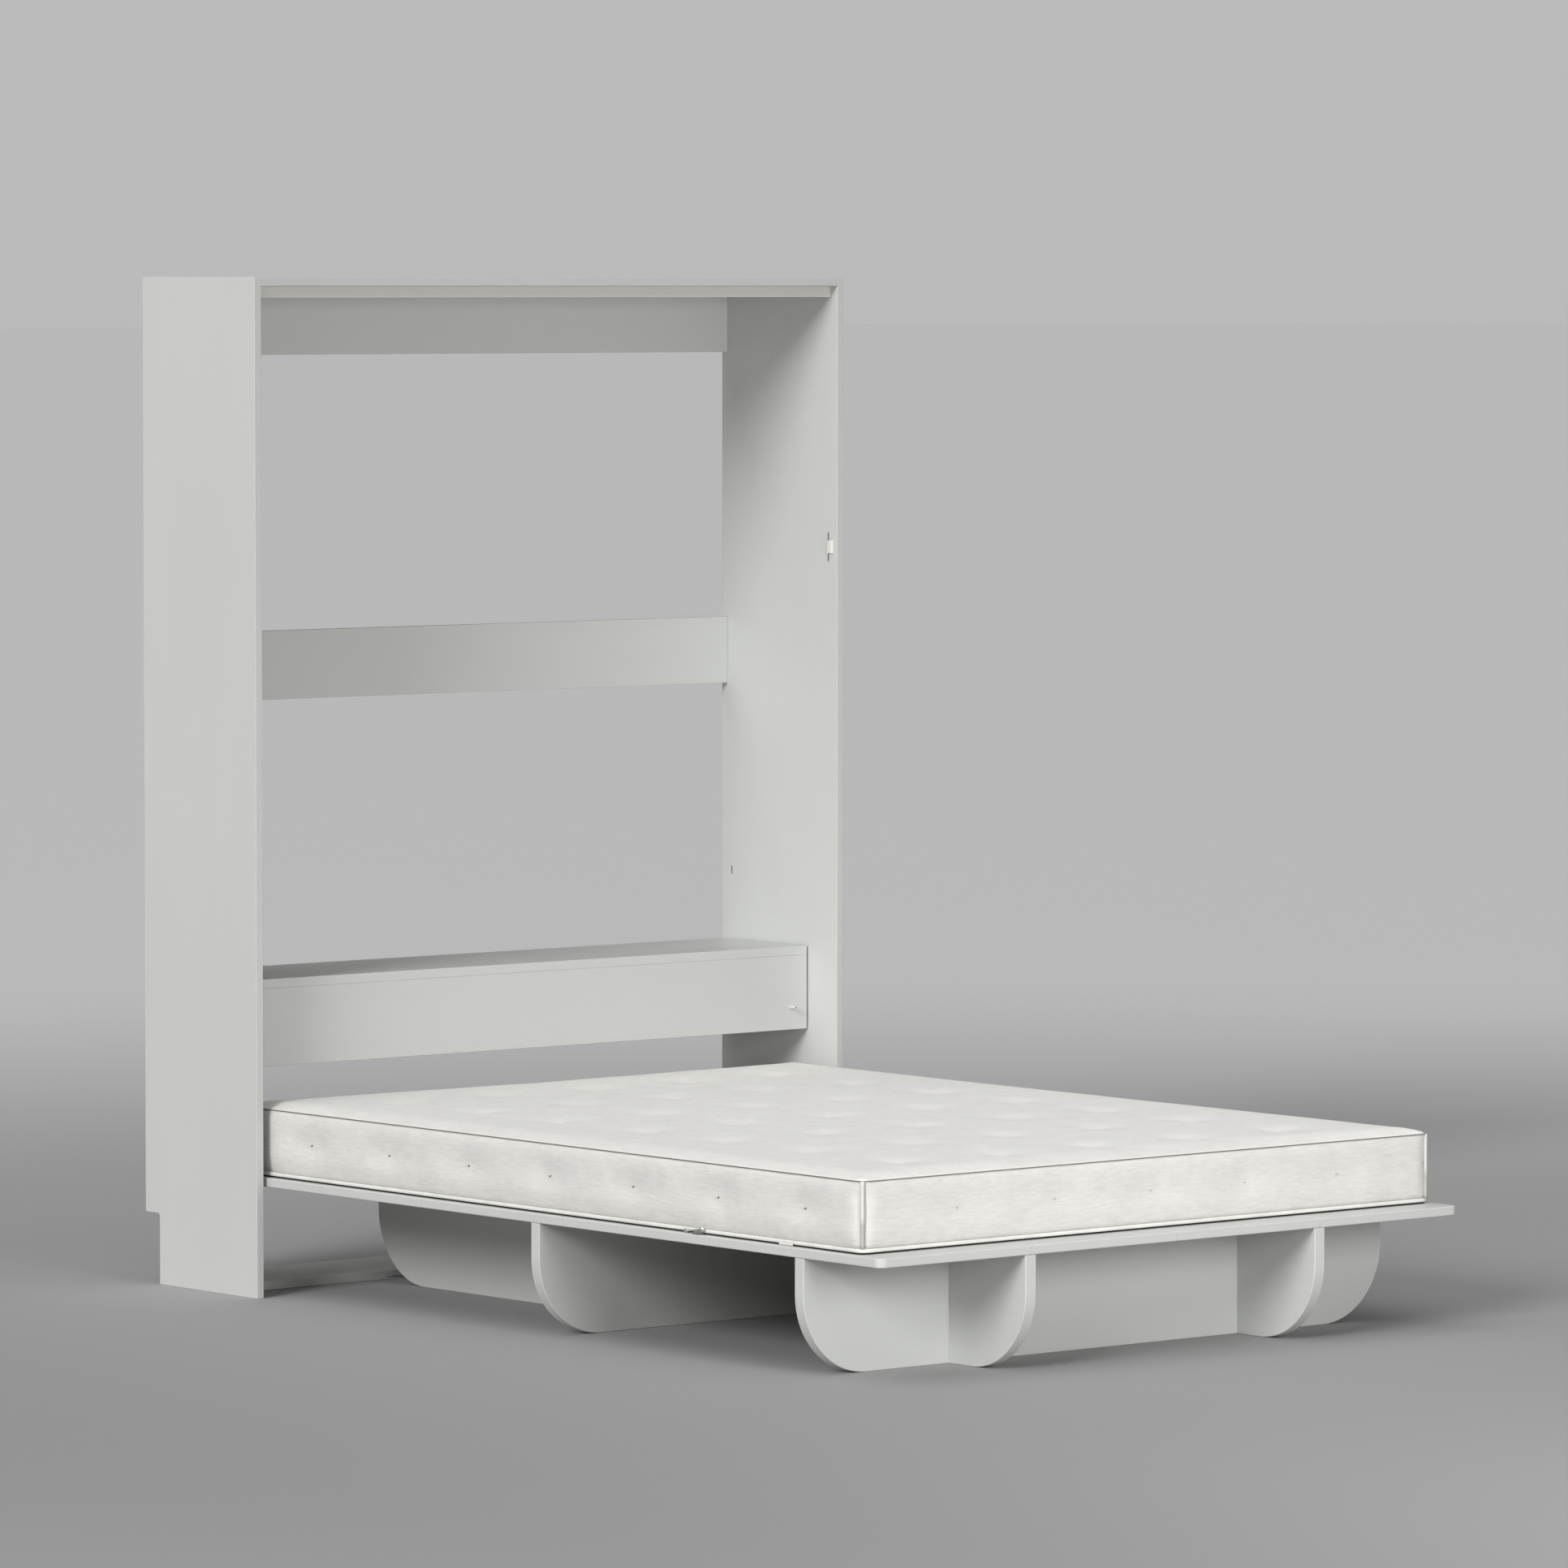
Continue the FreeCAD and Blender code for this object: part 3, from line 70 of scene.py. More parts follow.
def make_camera():
    """A long lens, standing to the left of the foot of the bed."""
    data = bpy.data.cameras.new("camera")
    data.lens = LENS
    data.sensor_width = SENSOR
    data.clip_end = 1000.0
    camera = bpy.data.objects.new("camera", data)
    bpy.context.scene.collection.objects.link(camera)
    ahead = Vector((math.sin(CAMERA_YAW) * math.cos(CAMERA_PITCH),
                    math.cos(CAMERA_YAW) * math.cos(CAMERA_PITCH),
                    -math.sin(CAMERA_PITCH)))
    camera.rotation_mode = "QUATERNION"
    turn = ahead.to_track_quat("-Z", "Y")
    roll = Matrix.Rotation(-CAMERA_ROLL, 4, ahead)
    camera.matrix_world = Matrix.Translation(CAMERA_PLACE) @ roll @ turn.to_matrix().to_4x4()
    bpy.context.scene.camera = camera


make_camera()


# ---------------------------------------------------------------- floor and light

HORIZON_GLOW = 0.50         # brightness of the surround near the horizon
OVERHEAD = 0.22             # and high up
GLOW_BAND = (0.045, 0.16)   # heights, as shares of the sky, between which the glow fades
FLOOR_NEAR = 0.44
FLOOR_FAR = 0.735
FLOOR_FADE = (1.8, 9.0)     # distances from the origin over which the floor grows paler
FLOOR_REACH = 300.0
LIGHTS = {                  # name: (way the light travels, strength, size in degrees)
    "key_left": ((0.86, 0.32, -0.42), 1.62, 20),
    "top_soft": ((0.40, 0.00, -0.92), 0.82, 50),
}
FILL_PLACE = Vector((-1.1, -6.4, 1.7))
FILL_AIM = Vector((0.1, -0.8, 0.75))
FILL_WATTS = 20
FILL_SIZE = 2.0
FILL_SPREAD = 62            # degrees, so that the beam misses the floor under the light
GAMMA = 0.88
EXPOSURE = 0.10


def fade(tree, value, band, start, end):
    """A smooth change from start to end as a value crosses a band."""
    tone = tree.nodes.new("ShaderNodeMapRange")
    tone.interpolation_type = "SMOOTHSTEP"
    for socket, number in (("From Min", band[0]), ("From Max", band[1]),
                           ("To Min", start), ("To Max", end)):
        tone.inputs[socket].default_value = number
    tree.links.new(value, tone.inputs["Value"])
    return tone.outputs["Result"]


def floor_paint():
    """Matt floor paint that grows paler away from the bed, as on a studio sweep."""
    paint = bpy.data.materials.new("floor_paint")
    paint.use_nodes = True
    tree = paint.node_tree
    place = tree.nodes.new("ShaderNodeTexCoord")
    reach = tree.nodes.new("ShaderNodeVectorMath")
    reach.operation = "LENGTH"
    tree.links.new(place.outputs["Object"], reach.inputs[0])
    tone = fade(tree, reach.outputs["Value"], FLOOR_FADE, FLOOR_NEAR, FLOOR_FAR)
    shader = tree.nodes["Principled BSDF"]
    tree.links.new(tone, shader.inputs["Base Color"])
    shader.inputs["Roughness"].default_value = 0.9
    shader.inputs["Specular IOR Level"].default_value = 0.1
    return paint


def make_floor():
    """One large plain floor."""
    mesh = bpy.data.meshes.new("floor")
    corners = [(-1, -1), (1, -1), (1, 1), (-1, 1)]
    mesh.from_pydata([(x * FLOOR_REACH, y * FLOOR_REACH, 0) for x, y in corners],
                     [], [(0, 1, 2, 3)])
    floor = bpy.data.objects.new("floor", mesh)
    bpy.context.scene.collection.objects.link(floor)
    mesh.materials.append(floor_paint())


def make_surround():
    """Neutral light all round, brighter towards the horizon than overhead."""
    world = bpy.data.worlds.new("surround")
    world.use_nodes = True
    tree = world.node_tree
    way = tree.nodes.new("ShaderNodeTexCoord")
    split = tree.nodes.new("ShaderNodeSeparateXYZ")
    tree.links.new(way.outputs["Generated"], split.inputs[0])
    tone = fade(tree, split.outputs["Z"], GLOW_BAND, HORIZON_GLOW, OVERHEAD)
    tree.links.new(tone, tree.nodes["Background"].inputs["Color"])
    bpy.context.scene.world = world


def hang_lamp(light, travel):
    """Puts a light in the scene, shining the way that it travels."""
    lamp = bpy.data.objects.new(light.name, light)
    lamp.rotation_mode = "QUATERNION"
    lamp.rotation_quaternion = travel.to_track_quat("-Z", "Y")
    bpy.context.scene.collection.objects.link(lamp)
    return lamp


def make_lights():
    """Soft studio lights: a key from the left, one overhead, and a narrow fill in front."""
    for name, (travel, strength, size) in LIGHTS.items():
        light = bpy.data.lights.new(name, "SUN")
        light.energy = strength
        light.angle = math.radians(size)
        hang_lamp(light, Vector(travel))
    panel = bpy.data.lights.new("fill_front", "AREA")
    panel.energy = FILL_WATTS
    panel.size = FILL_SIZE
    panel.spread = math.radians(FILL_SPREAD)
    lamp = hang_lamp(panel, FILL_AIM - FILL_PLACE)
    lamp.location = FILL_PLACE
    lamp.visible_camera = False


make_floor()
make_surround()
make_lights()
bpy.context.scene.view_settings.view_transform = "Standard"
bpy.context.scene.view_settings.gamma = GAMMA
bpy.context.scene.view_settings.exposure = EXPOSURE


# ---------------------------------------------------------------- material building blocks

class Surface:
    """A node material that is put together one node at a time."""

    def __init__(self, name):
        self.material = bpy.data.materials.new(name)
        self.material.use_nodes = True
        self.tree = self.material.node_tree
        self.shader = self.tree.nodes["Principled BSDF"]
        self.coordinates = self.tree.nodes.new("ShaderNodeTexCoord").outputs["Object"]

    def node(self, kind, links=None, **settings):
        made = self.tree.nodes.new(kind)
        for name, value in settings.items():
            setattr(made, name, value)
        for socket, value in (links or {}).items():
            if isinstance(value, bpy.types.NodeSocket):
                self.tree.links.new(value, made.inputs[socket])
            else:
                made.inputs[socket].default_value = value
        return made

    def stretched(self, scale):
        """The object's coordinates, scaled along X, Y and Z."""
        return self.node("ShaderNodeMapping",
                         {"Vector": self.coordinates, "Scale": scale}).outputs["Vector"]

    def noise(self, scale, detail=2.0, rough=0.5, vector=None, distortion=0.0):
        """Noise from 0 to 1."""
        made = self.node("ShaderNodeTexNoise", {
            "Vector": vector or self.coordinates, "Scale": scale, "Detail": detail,
            "Roughness": rough, "Distortion": distortion})
        return made.outputs["Fac"]

    def spread(self, value, low, high, to_low=0.0, to_high=1.0):
        """Stretches the range low to high over to_low to to_high."""
        made = self.node("ShaderNodeMapRange", {
            "Value": value, "From Min": low, "From Max": high,
            "To Min": to_low, "To Max": to_high})
        return made.outputs["Result"]

    def sum(self, first, second, operation="ADD"):
        made = self.node("ShaderNodeMath", {0: first, 1: second}, operation=operation)
        return made.outputs["Value"]

    def mix(self, share, first, second):
        """A blend of two colours."""
        made = self.node("ShaderNodeMix", {"Factor": share}, data_type="RGBA")
        for socket, value in ((6, first), (7, second)):
            if isinstance(value, bpy.types.NodeSocket):
                self.tree.links.new(value, made.inputs[socket])
            else:
                made.inputs[socket].default_value = (*value, 1)
        return made.outputs[2]

    def bump(self, height, depth, under=None):
        """A normal from a height of 0 to 1 over a depth in metres."""
        links = {"Height": height, "Distance": depth, "Strength": 1.0}
        if under is not None:
            links["Normal"] = under
        return self.node("ShaderNodeBump", links).outputs["Normal"]

    def wire(self, colour=None, roughness=None, normal=None, **fixed):
        """Joins the shader's sockets up and returns the finished material."""
        for socket, value in (("Base Color", colour), ("Roughness", roughness),
                              ("Normal", normal)):
            if isinstance(value, bpy.types.NodeSocket):
                self.tree.links.new(value, self.shader.inputs[socket])
            elif value is not None:
                self.shader.inputs[socket].default_value = value
        for socket, value in fixed.items():
            self.shader.inputs[socket.replace("_", " ")].default_value = value
        return self.material


def along_grain(axis, across, along):
    """Texture scales for a pattern drawn out along one axis."""
    return [along if letter == axis else across for letter in "xyz"]


def shade(colour, factor):
    """A colour made lighter or darker."""
    return tuple(min(1.0, channel * factor) for channel in colour)


# ---------------------------------------------------------------- hard materials

def sprayed_board(name, colour, grain_axis):
    """Satin spray lacquer over board: fine orange peel, and faint streaks along the board."""
    surface = Surface(name)
    streaks = surface.noise(1.0, 3.0, 0.55,
                            surface.stretched(along_grain(grain_axis, 14.0, 0.9)))
    clouds = surface.noise(2.2, 3.0, 0.5)
    tone = surface.sum(surface.spread(streaks, 0.3, 0.7, 0.0, 0.5),
                       surface.spread(clouds, 0.3, 0.7, 0.0, 0.5))
    tint = surface.mix(tone, shade(colour, 0.985), shade(colour, 1.013))
    peel = surface.noise(420.0, 2.0, 0.5)
    fibre = surface.noise(1.0, 2.0, 0.6,
                          surface.stretched(along_grain(grain_axis, 260.0, 9.0)))
    normal = surface.bump(peel, 0.05 * MM)
    normal = surface.bump(fibre, 0.06 * MM, normal)
    gloss = surface.spread(surface.noise(9.0, 3.0), 0.3, 0.7, 0.40, 0.54)
    return surface.wire(tint, gloss, normal, Specular_IOR_Level=0.38)


def raw_wood(name, grain_axis, light, dark):
    """Planed softwood with growth rings along one axis."""
    surface = Surface(name)
    rings = surface.noise(1.0, 4.0, 0.62,
                          surface.stretched(along_grain(grain_axis, 38.0, 2.2)), 0.8)
    pores = surface.noise(1.0, 2.0, 0.6,
                          surface.stretched(along_grain(grain_axis, 900.0, 20.0)))
    tone = surface.sum(surface.spread(rings, 0.35, 0.65, 0.0, 0.75),
                       surface.spread(pores, 0.35, 0.7, 0.0, 0.25))
    tint = surface.mix(tone, dark, light)
    normal = surface.bump(pores, 0.08 * MM)
    return surface.wire(tint, 0.68, normal)


def plated_steel(name, colour, rough):
    """Zinc-plated steel: spangle in the tone, and a fine directional haze."""
    surface = Surface(name)
    spangle = surface.noise(90.0, 2.0, 0.6)
    haze = surface.noise(1.0, 2.0, 0.5, surface.stretched((300.0, 300.0, 2400.0)))
    tint = surface.mix(surface.spread(spangle, 0.3, 0.7), shade(colour, 0.82), colour)
    gloss = surface.spread(haze, 0.3, 0.7, rough * 0.8, rough * 1.3)
    return surface.wire(tint, gloss, surface.bump(haze, 0.01 * MM), Metallic=1.0)


def polished_chrome(name):
    """Polished chrome with the faintest handling marks."""
    surface = Surface(name)
    marks = surface.noise(260.0, 3.0, 0.6)
    tint = surface.mix(marks, (0.72, 0.73, 0.74), (0.90, 0.90, 0.91))
    gloss = surface.spread(marks, 0.35, 0.7, 0.05, 0.16)
    return surface.wire(tint, gloss, None, Metallic=1.0)


def powder_coat(name, colour):
    """Powder-coated steel: a pebbled skin with small tone changes."""
    surface = Surface(name)
    pebble = surface.noise(1400.0, 2.0, 0.5)
    cloud = surface.noise(40.0, 3.0, 0.5)
    tint = surface.mix(surface.spread(cloud, 0.3, 0.7), shade(colour, 0.86), shade(colour, 1.1))
    gloss = surface.spread(pebble, 0.3, 0.7, 0.42, 0.6)
    return surface.wire(tint, gloss, surface.bump(pebble, 0.05 * MM), Specular_IOR_Level=0.45)


def moulded_nylon(name, colour):
    """Moulded nylon: slightly waxy, with a fine spark-eroded texture."""
    surface = Surface(name)
    texture = surface.noise(1800.0, 2.0, 0.5)
    cloud = surface.noise(60.0, 2.0, 0.5)
    tint = surface.mix(cloud, shade(colour, 0.95), shade(colour, 1.03))
    gloss = surface.spread(texture, 0.3, 0.7, 0.38, 0.5)
    return surface.wire(tint, gloss, surface.bump(texture, 0.03 * MM),
                        Subsurface_Weight=0.08, Subsurface_Radius=(0.004, 0.003, 0.002))


def sintered_bronze(name):
    """Porous sintered bronze with oil in its pores."""
    surface = Surface(name)
    pores = surface.node("ShaderNodeTexVoronoi", {
        "Vector": surface.coordinates, "Scale": 1600.0}).outputs["Distance"]
    tint = surface.mix(surface.spread(pores, 0.0, 0.5), (0.26, 0.17, 0.08), (0.62, 0.45, 0.24))
    return surface.wire(tint, 0.42, surface.bump(pores, 0.03 * MM), Metallic=1.0)


PAINT = (0.655, 0.663, 0.645)
HEADER_PAINT = (0.730, 0.715, 0.680)

painted = {axis: sprayed_board(f"sprayed_board_{axis}", PAINT, axis) for axis in "xyz"}
header_paint = sprayed_board("sprayed_header", HEADER_PAINT, "x")
pine = {axis: raw_wood(f"pine_{axis}", axis, (0.74, 0.59, 0.41), (0.55, 0.39, 0.22))
        for axis in "xy"}
zinc = plated_steel("zinc_plated_steel", (0.70, 0.70, 0.68), 0.34)
chrome = polished_chrome("polished_chrome")
bracket_coat = powder_coat("bracket_coat", (0.24, 0.25, 0.25))
latch_coat = powder_coat("latch_coat", (0.20, 0.20, 0.19))
striker_coat = powder_coat("striker_coat", (0.16, 0.16, 0.155))
nylon = moulded_nylon("moulded_nylon", (0.80, 0.77, 0.73))
# Near-black blanks in the panel slots: black plastic, its darkness also painted shade deep in
# the slots.
slot_blank_shade = moulded_nylon("slot_blank_painted_shade", (0.045, 0.045, 0.045))
bronze = sintered_bronze("sintered_bronze")


# ---------------------------------------------------------------- finishes of the CAD pieces

def grain_of(name):
    """A board's long axis, along which its surface shows streaks."""
    low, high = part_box(name)
    size = high - low
    return "xyz"[max(range(3), key=lambda axis: size[axis])]


def finish_for(name, slot):
    """The material of one CAD piece."""
    if slot == "painted_board":
        return painted[grain_of(name)]
    if slot == "raw_wood":
        return pine["y" if name.startswith("deck_batten") else "x"]
    if slot == "dark_steel":
        return striker_coat if name.startswith("catch_plate") else latch_coat
    return {"header_board": header_paint, "painted_knob": painted["y"], "screw_steel": zinc,
            "bracket_steel": bracket_coat, "nylon": nylon, "bronze": bronze,
            "dark_plastic": slot_blank_shade, "chrome": chrome,
            "mattress_fabric": ticking_side, "webbing": webbing}[slot]


# ---------------------------------------------------------------- mattress fabrics

TICKING = (0.815, 0.805, 0.775)


def slub_ticking(name, colour, sideways):
    """Woven ticking with uneven slub threads, seen on the mattress's border or its top.

    sideways is True on the border, where the threads lie level whichever way a side faces.
    """
    surface = Surface(name)
    split = surface.node("ShaderNodeSeparateXYZ", {0: surface.coordinates})
    x, y, z = (split.outputs[axis] for axis in "XYZ")
    if sideways:
        level = surface.sum(x, y)
        flat = surface.node("ShaderNodeCombineXYZ", {"X": level, "Y": z}).outputs["Vector"]
    else:
        flat = surface.node("ShaderNodeCombineXYZ", {"X": y, "Y": x}).outputs["Vector"]

    def threads(along, across, detail=2.0):
        vector = surface.node("ShaderNodeMapping", {
            "Vector": flat, "Scale": (along, across, 1.0)}).outputs["Vector"]
        return surface.noise(1.0, detail, 0.6, vector)

    slubs = threads(24.0, 240.0, 3.0)
    fine_slubs = threads(110.0, 420.0)
    specks = surface.noise(210.0, 2.0, 0.7, flat)
    patches = surface.noise(17.0, 4.0, 0.62, flat)
    heather = surface.sum(surface.spread(slubs, 0.36, 0.66, 0.0, 0.42),
                          surface.spread(fine_slubs, 0.40, 0.75, 0.0, 0.14))
    heather = surface.sum(heather, surface.spread(patches, 0.34, 0.68, -0.06, 0.20))
    heather = surface.sum(heather, surface.spread(specks, 0.63, 0.74, 0.0, 0.50))
    tint = surface.mix(heather, shade(colour, 1.04), shade(colour, 0.84))
    warp, weft = (surface.node("ShaderNodeTexWave", {
        "Vector": flat, "Scale": 420.0, "Distortion": 1.5, "Detail": 1.0},
        wave_type="BANDS", bands_direction=way).outputs["Fac"] for way in "XY")
    cloth = surface.sum(warp, weft, "MULTIPLY")
    normal = surface.bump(cloth, 0.12 * MM)
    normal = surface.bump(slubs, 0.35 * MM, normal)
    return surface.wire(tint, 0.92, normal, Specular_IOR_Level=0.2,
                        Sheen_Weight=0.25, Sheen_Roughness=0.5)


def corded_tape(name, colour):
    """The plain tape and piping sewn round the mattress, ribbed across its length."""
    surface = Surface(name)
    ribs = surface.noise(900.0, 2.0, 0.5)
    soil = surface.noise(22.0, 3.0, 0.6)
    tint = surface.mix(surface.spread(soil, 0.3, 0.75), shade(colour, 1.04), shade(colour, 0.90))
    return surface.wire(tint, 0.88, surface.bump(ribs, 0.15 * MM), Specular_IOR_Level=0.2,
                        Sheen_Weight=0.2, Sheen_Roughness=0.5)


def corner_cord(name, pale, lower_grey, low, high):
    """The cord up a corner seam, greyer near the foot of the seam."""
    surface = Surface(name)
    height = surface.node("ShaderNodeSeparateXYZ", {0: surface.coordinates}).outputs["Z"]
    ribs = surface.noise(900.0, 2.0, 0.5)
    # Grey towards the foot of the seam, pale above it.
    tint = surface.mix(surface.spread(height, low, high), lower_grey, pale)
    return surface.wire(tint, 0.88, surface.bump(ribs, 0.15 * MM), Specular_IOR_Level=0.2)


ticking_side = slub_ticking("ticking_border", TICKING, True)
# The top's ticking is a 7% lighter copy of the border's: painted light, as the top is lit more
# than the border.
ticking_top_painted_light = slub_ticking("ticking_top_painted_light", shade(TICKING, 1.07), False)
tape = corded_tape("mattress_tape", (0.83, 0.82, 0.785))
# Dark and mid-grey cords laid in seams and at tufts: their colours are painted shade in the
# grooves and hollows there.
seam_shadow = corded_tape("dark_seam_painted_shade", (0.22, 0.215, 0.20))
pale_seam_shade = corded_tape("pale_seam_painted_shade", (0.52, 0.51, 0.48))
# Near-black band: painted shade in the gap between the mattress and the deck.
base_gap_shade = corded_tape("base_gap_painted_shade", (0.018, 0.018, 0.018))
webbing = corded_tape("strap_webbing", (0.72, 0.70, 0.67))

slot_of = {part["node"]: part["material_slot"] for part in frame["record"]["subparts"]}
for name, node in nodes.items():
    node.data.materials.clear()
    node.data.materials.append(finish_for(name, slot_of[name]))


# ---------------------------------------------------------------- mattress shape

soft_low, soft_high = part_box("mattress")
MIDDLE = (soft_low + soft_high) / 2
INSET = 1.5 * MM            # room for the cloth to swell at the sides
HALF_X = (soft_high.x - soft_low.x) / 2 - INSET
HALF_Y = (soft_high.y - soft_low.y) / 2 - INSET
CORNER = 20 * MM
STRAIGHT_X = 2 * (HALF_X - CORNER)
STRAIGHT_Y = 2 * (HALF_Y - CORNER)
CORNER_ARC = CORNER * math.pi / 2
OUTLINE = 2 * (STRAIGHT_X + STRAIGHT_Y) + 4 * CORNER_ARC
CELL = 14.5 * MM
EDGE_CELL = 5 * MM
TOP_Z = soft_high.z - 2 * MM
BASE_Z = soft_low.z + 0.6 * MM
ROLL = 8 * MM               # rise of the top cloth from its seam
ROLL_WIDTH = 15 * MM
BASE_TUCK = 8 * MM          # how far the lowest edge is drawn in
TOP_CAP = 5 * MM
SIDE_CAP = 3.5 * MM
TUFT_ROWS = [(-142 + 268.5 * k) * MM for k in range(-3, 4)]
TUFT_COLUMNS = [(-9 + 254.7 * k) * MM for k in range(-2, 3)]
TUFT_HEIGHT = 330 * MM
TOP_DENT = 7 * MM
TOP_DENT_REACH = 48 * MM
SIDE_DENT = 7.5 * MM
END_DENT = 4 * MM
SIDE_DENT_REACH = 62 * MM
SIDE_DENT_RISE = 32 * MM
FLAT_MARGIN = 60 * MM       # no top dents nearer than this to the edge
BORDER_SKIN = 4 * MM        # how near the side a point counts as border
HELD_TUFT = 0.85            # hold of the tufts while the cloth swells; seams have 1
SIM_FRAMES = 20
TINY = 1e-6


def to_rounded(x, y):
    """Moves a point of the full rectangle so that its four corners become round."""
    inner_x, inner_y = HALF_X - CORNER, HALF_Y - CORNER
    if abs(x) <= inner_x or abs(y) <= inner_y:
        return x, y
    a = (abs(x) - inner_x) / CORNER
    b = (abs(y) - inner_y) / CORNER
    round_x = inner_x + CORNER * a * math.sqrt(1 - b * b / 2)
    round_y = inner_y + CORNER * b * math.sqrt(1 - a * a / 2)
    return math.copysign(round_x, x), math.copysign(round_y, y)


def outline_point(distance, grow=0.0):
    """A point on the mattress's outline, and the way that the outline faces there."""
    lengths = [STRAIGHT_X, CORNER_ARC, STRAIGHT_Y, CORNER_ARC] * 2
    distance %= OUTLINE
    part = 0
    while distance > lengths[part] and part < len(lengths) - 1:
        distance -= lengths[part]
        part += 1
    quarter = part // 2
    turn = -math.pi / 2 + quarter * math.pi / 2
    corners = [(1, -1), (1, 1), (-1, 1), (-1, -1)]
    centre = Vector((corners[quarter][0] * (HALF_X - CORNER),
                     corners[quarter][1] * (HALF_Y - CORNER)))
    if part % 2:
        turn += distance / CORNER
        out = Vector((math.cos(turn), math.sin(turn)))
        return centre + out * (CORNER + grow), out
    out = Vector((math.cos(turn), math.sin(turn)))
    back = Vector((out.y, -out.x)) * (lengths[part] - distance)
    return centre + out * (CORNER + grow) + back, out


def edge_distance(x, y):
    """How far inside the mattress's rounded outline a point lies."""
    corner_x = abs(x) - HALF_X + CORNER
    corner_y = abs(y) - HALF_Y + CORNER
    if corner_x > 0 and corner_y > 0:
        return CORNER - math.hypot(corner_x, corner_y)
    return min(HALF_X - abs(x), HALF_Y - abs(y))


def roll_rise(distance):
    """How high the top cloth stands above its seam, near the edge."""
    share = 1 - min(max(distance, 0) / ROLL_WIDTH, 1)
    return ROLL * math.sqrt(1 - share * share)


def grid_lines(half):
    """Even cells across the mattress, with one narrow cell along each edge."""
    inner = half - EDGE_CELL
    count = round(2 * inner / CELL)
    return [-half] + [-inner + 2 * inner * i / count for i in range(count + 1)] + [half]


def mattress_mesh():
    """A closed mesh of small cells: top, border and underside, with the round corners."""
    across, along = grid_lines(HALF_X), grid_lines(HALF_Y)
    columns, rows = len(across) - 1, len(along) - 1
    levels = round((TOP_Z - BASE_Z) / CELL)
    mesh = bmesh.new()
    grid = {}
    for i, line_x in enumerate(across):
        for j, line_y in enumerate(along):
            x, y = to_rounded(line_x, line_y)
            tuck_x, tuck_y = 1 - BASE_TUCK / HALF_X, 1 - BASE_TUCK / HALF_Y
            grid[i, j, 0] = mesh.verts.new((MIDDLE.x + x * tuck_x, MIDDLE.y + y * tuck_y,
                                            BASE_Z))
            grid[i, j, levels] = mesh.verts.new((MIDDLE.x + x, MIDDLE.y + y,
                                                 TOP_Z + roll_rise(edge_distance(x, y))))
    rim = [(i, 0) for i in range(columns)] + [(columns, j) for j in range(rows)]
    rim += [(i, rows) for i in range(columns, 0, -1)] + [(0, j) for j in range(rows, 0, -1)]
    for level in range(1, levels):
        z = BASE_Z + (TOP_Z - BASE_Z) * level / levels
        for i, j in rim:
            above = grid[i, j, levels].co
            grid[i, j, level] = mesh.verts.new((above.x, above.y, z))
    for i in range(columns):
        for j in range(rows):
            cell = [(i, j), (i + 1, j), (i + 1, j + 1), (i, j + 1)]
            upper = mesh.faces.new([grid[a, b, levels] for a, b in cell])
            upper.material_index = 1
            mesh.faces.new([grid[a, b, 0] for a, b in reversed(cell)])
    count = len(rim)
    for level in range(levels):
        for place in range(count):
            a, b = rim[place], rim[(place + 1) % count]
            mesh.faces.new([grid[*a, level], grid[*b, level], grid[*b, level + 1],
                            grid[*a, level + 1]])
    for face in mesh.faces:
        face.smooth = True
    mesh.normal_update()
    data = bpy.data.meshes.new("mattress_body")
    mesh.to_mesh(data)
    mesh.free()
    return data


def tuft_distance(x, y):
    """How far a point of the top is from the nearest tuft."""
    return min(math.hypot(x - a, y - b) for a in TUFT_COLUMNS for b in TUFT_ROWS)


def border_pull(along, z, tufts):
    """From 0 to 1, how strongly the nearest border tuft draws a point of the border in."""
    near = min(abs(along - tuft) for tuft in tufts)
    return math.exp(-(near / SIDE_DENT_REACH) ** 2 - ((z - TUFT_HEIGHT) / SIDE_DENT_RISE) ** 2)


def draw_in(point):
    """Draws a point of the skin in towards the tuft next to it."""
    x, y = point.x - MIDDLE.x, point.y - MIDDLE.y
    if point.z >= TOP_Z and edge_distance(x, y) > FLAT_MARGIN:
        point.z -= TOP_DENT * math.exp(-(tuft_distance(point.x, point.y) / TOP_DENT_REACH) ** 2)
    elif BASE_Z < point.z < TOP_Z:
        if abs(x) > HALF_X - BORDER_SKIN:
            point.x -= math.copysign(SIDE_DENT * border_pull(point.y, point.z, TUFT_ROWS), x)
        if abs(y) > HALF_Y - BORDER_SKIN:
            point.y -= math.copysign(END_DENT * border_pull(point.x, point.z, TUFT_COLUMNS), y)


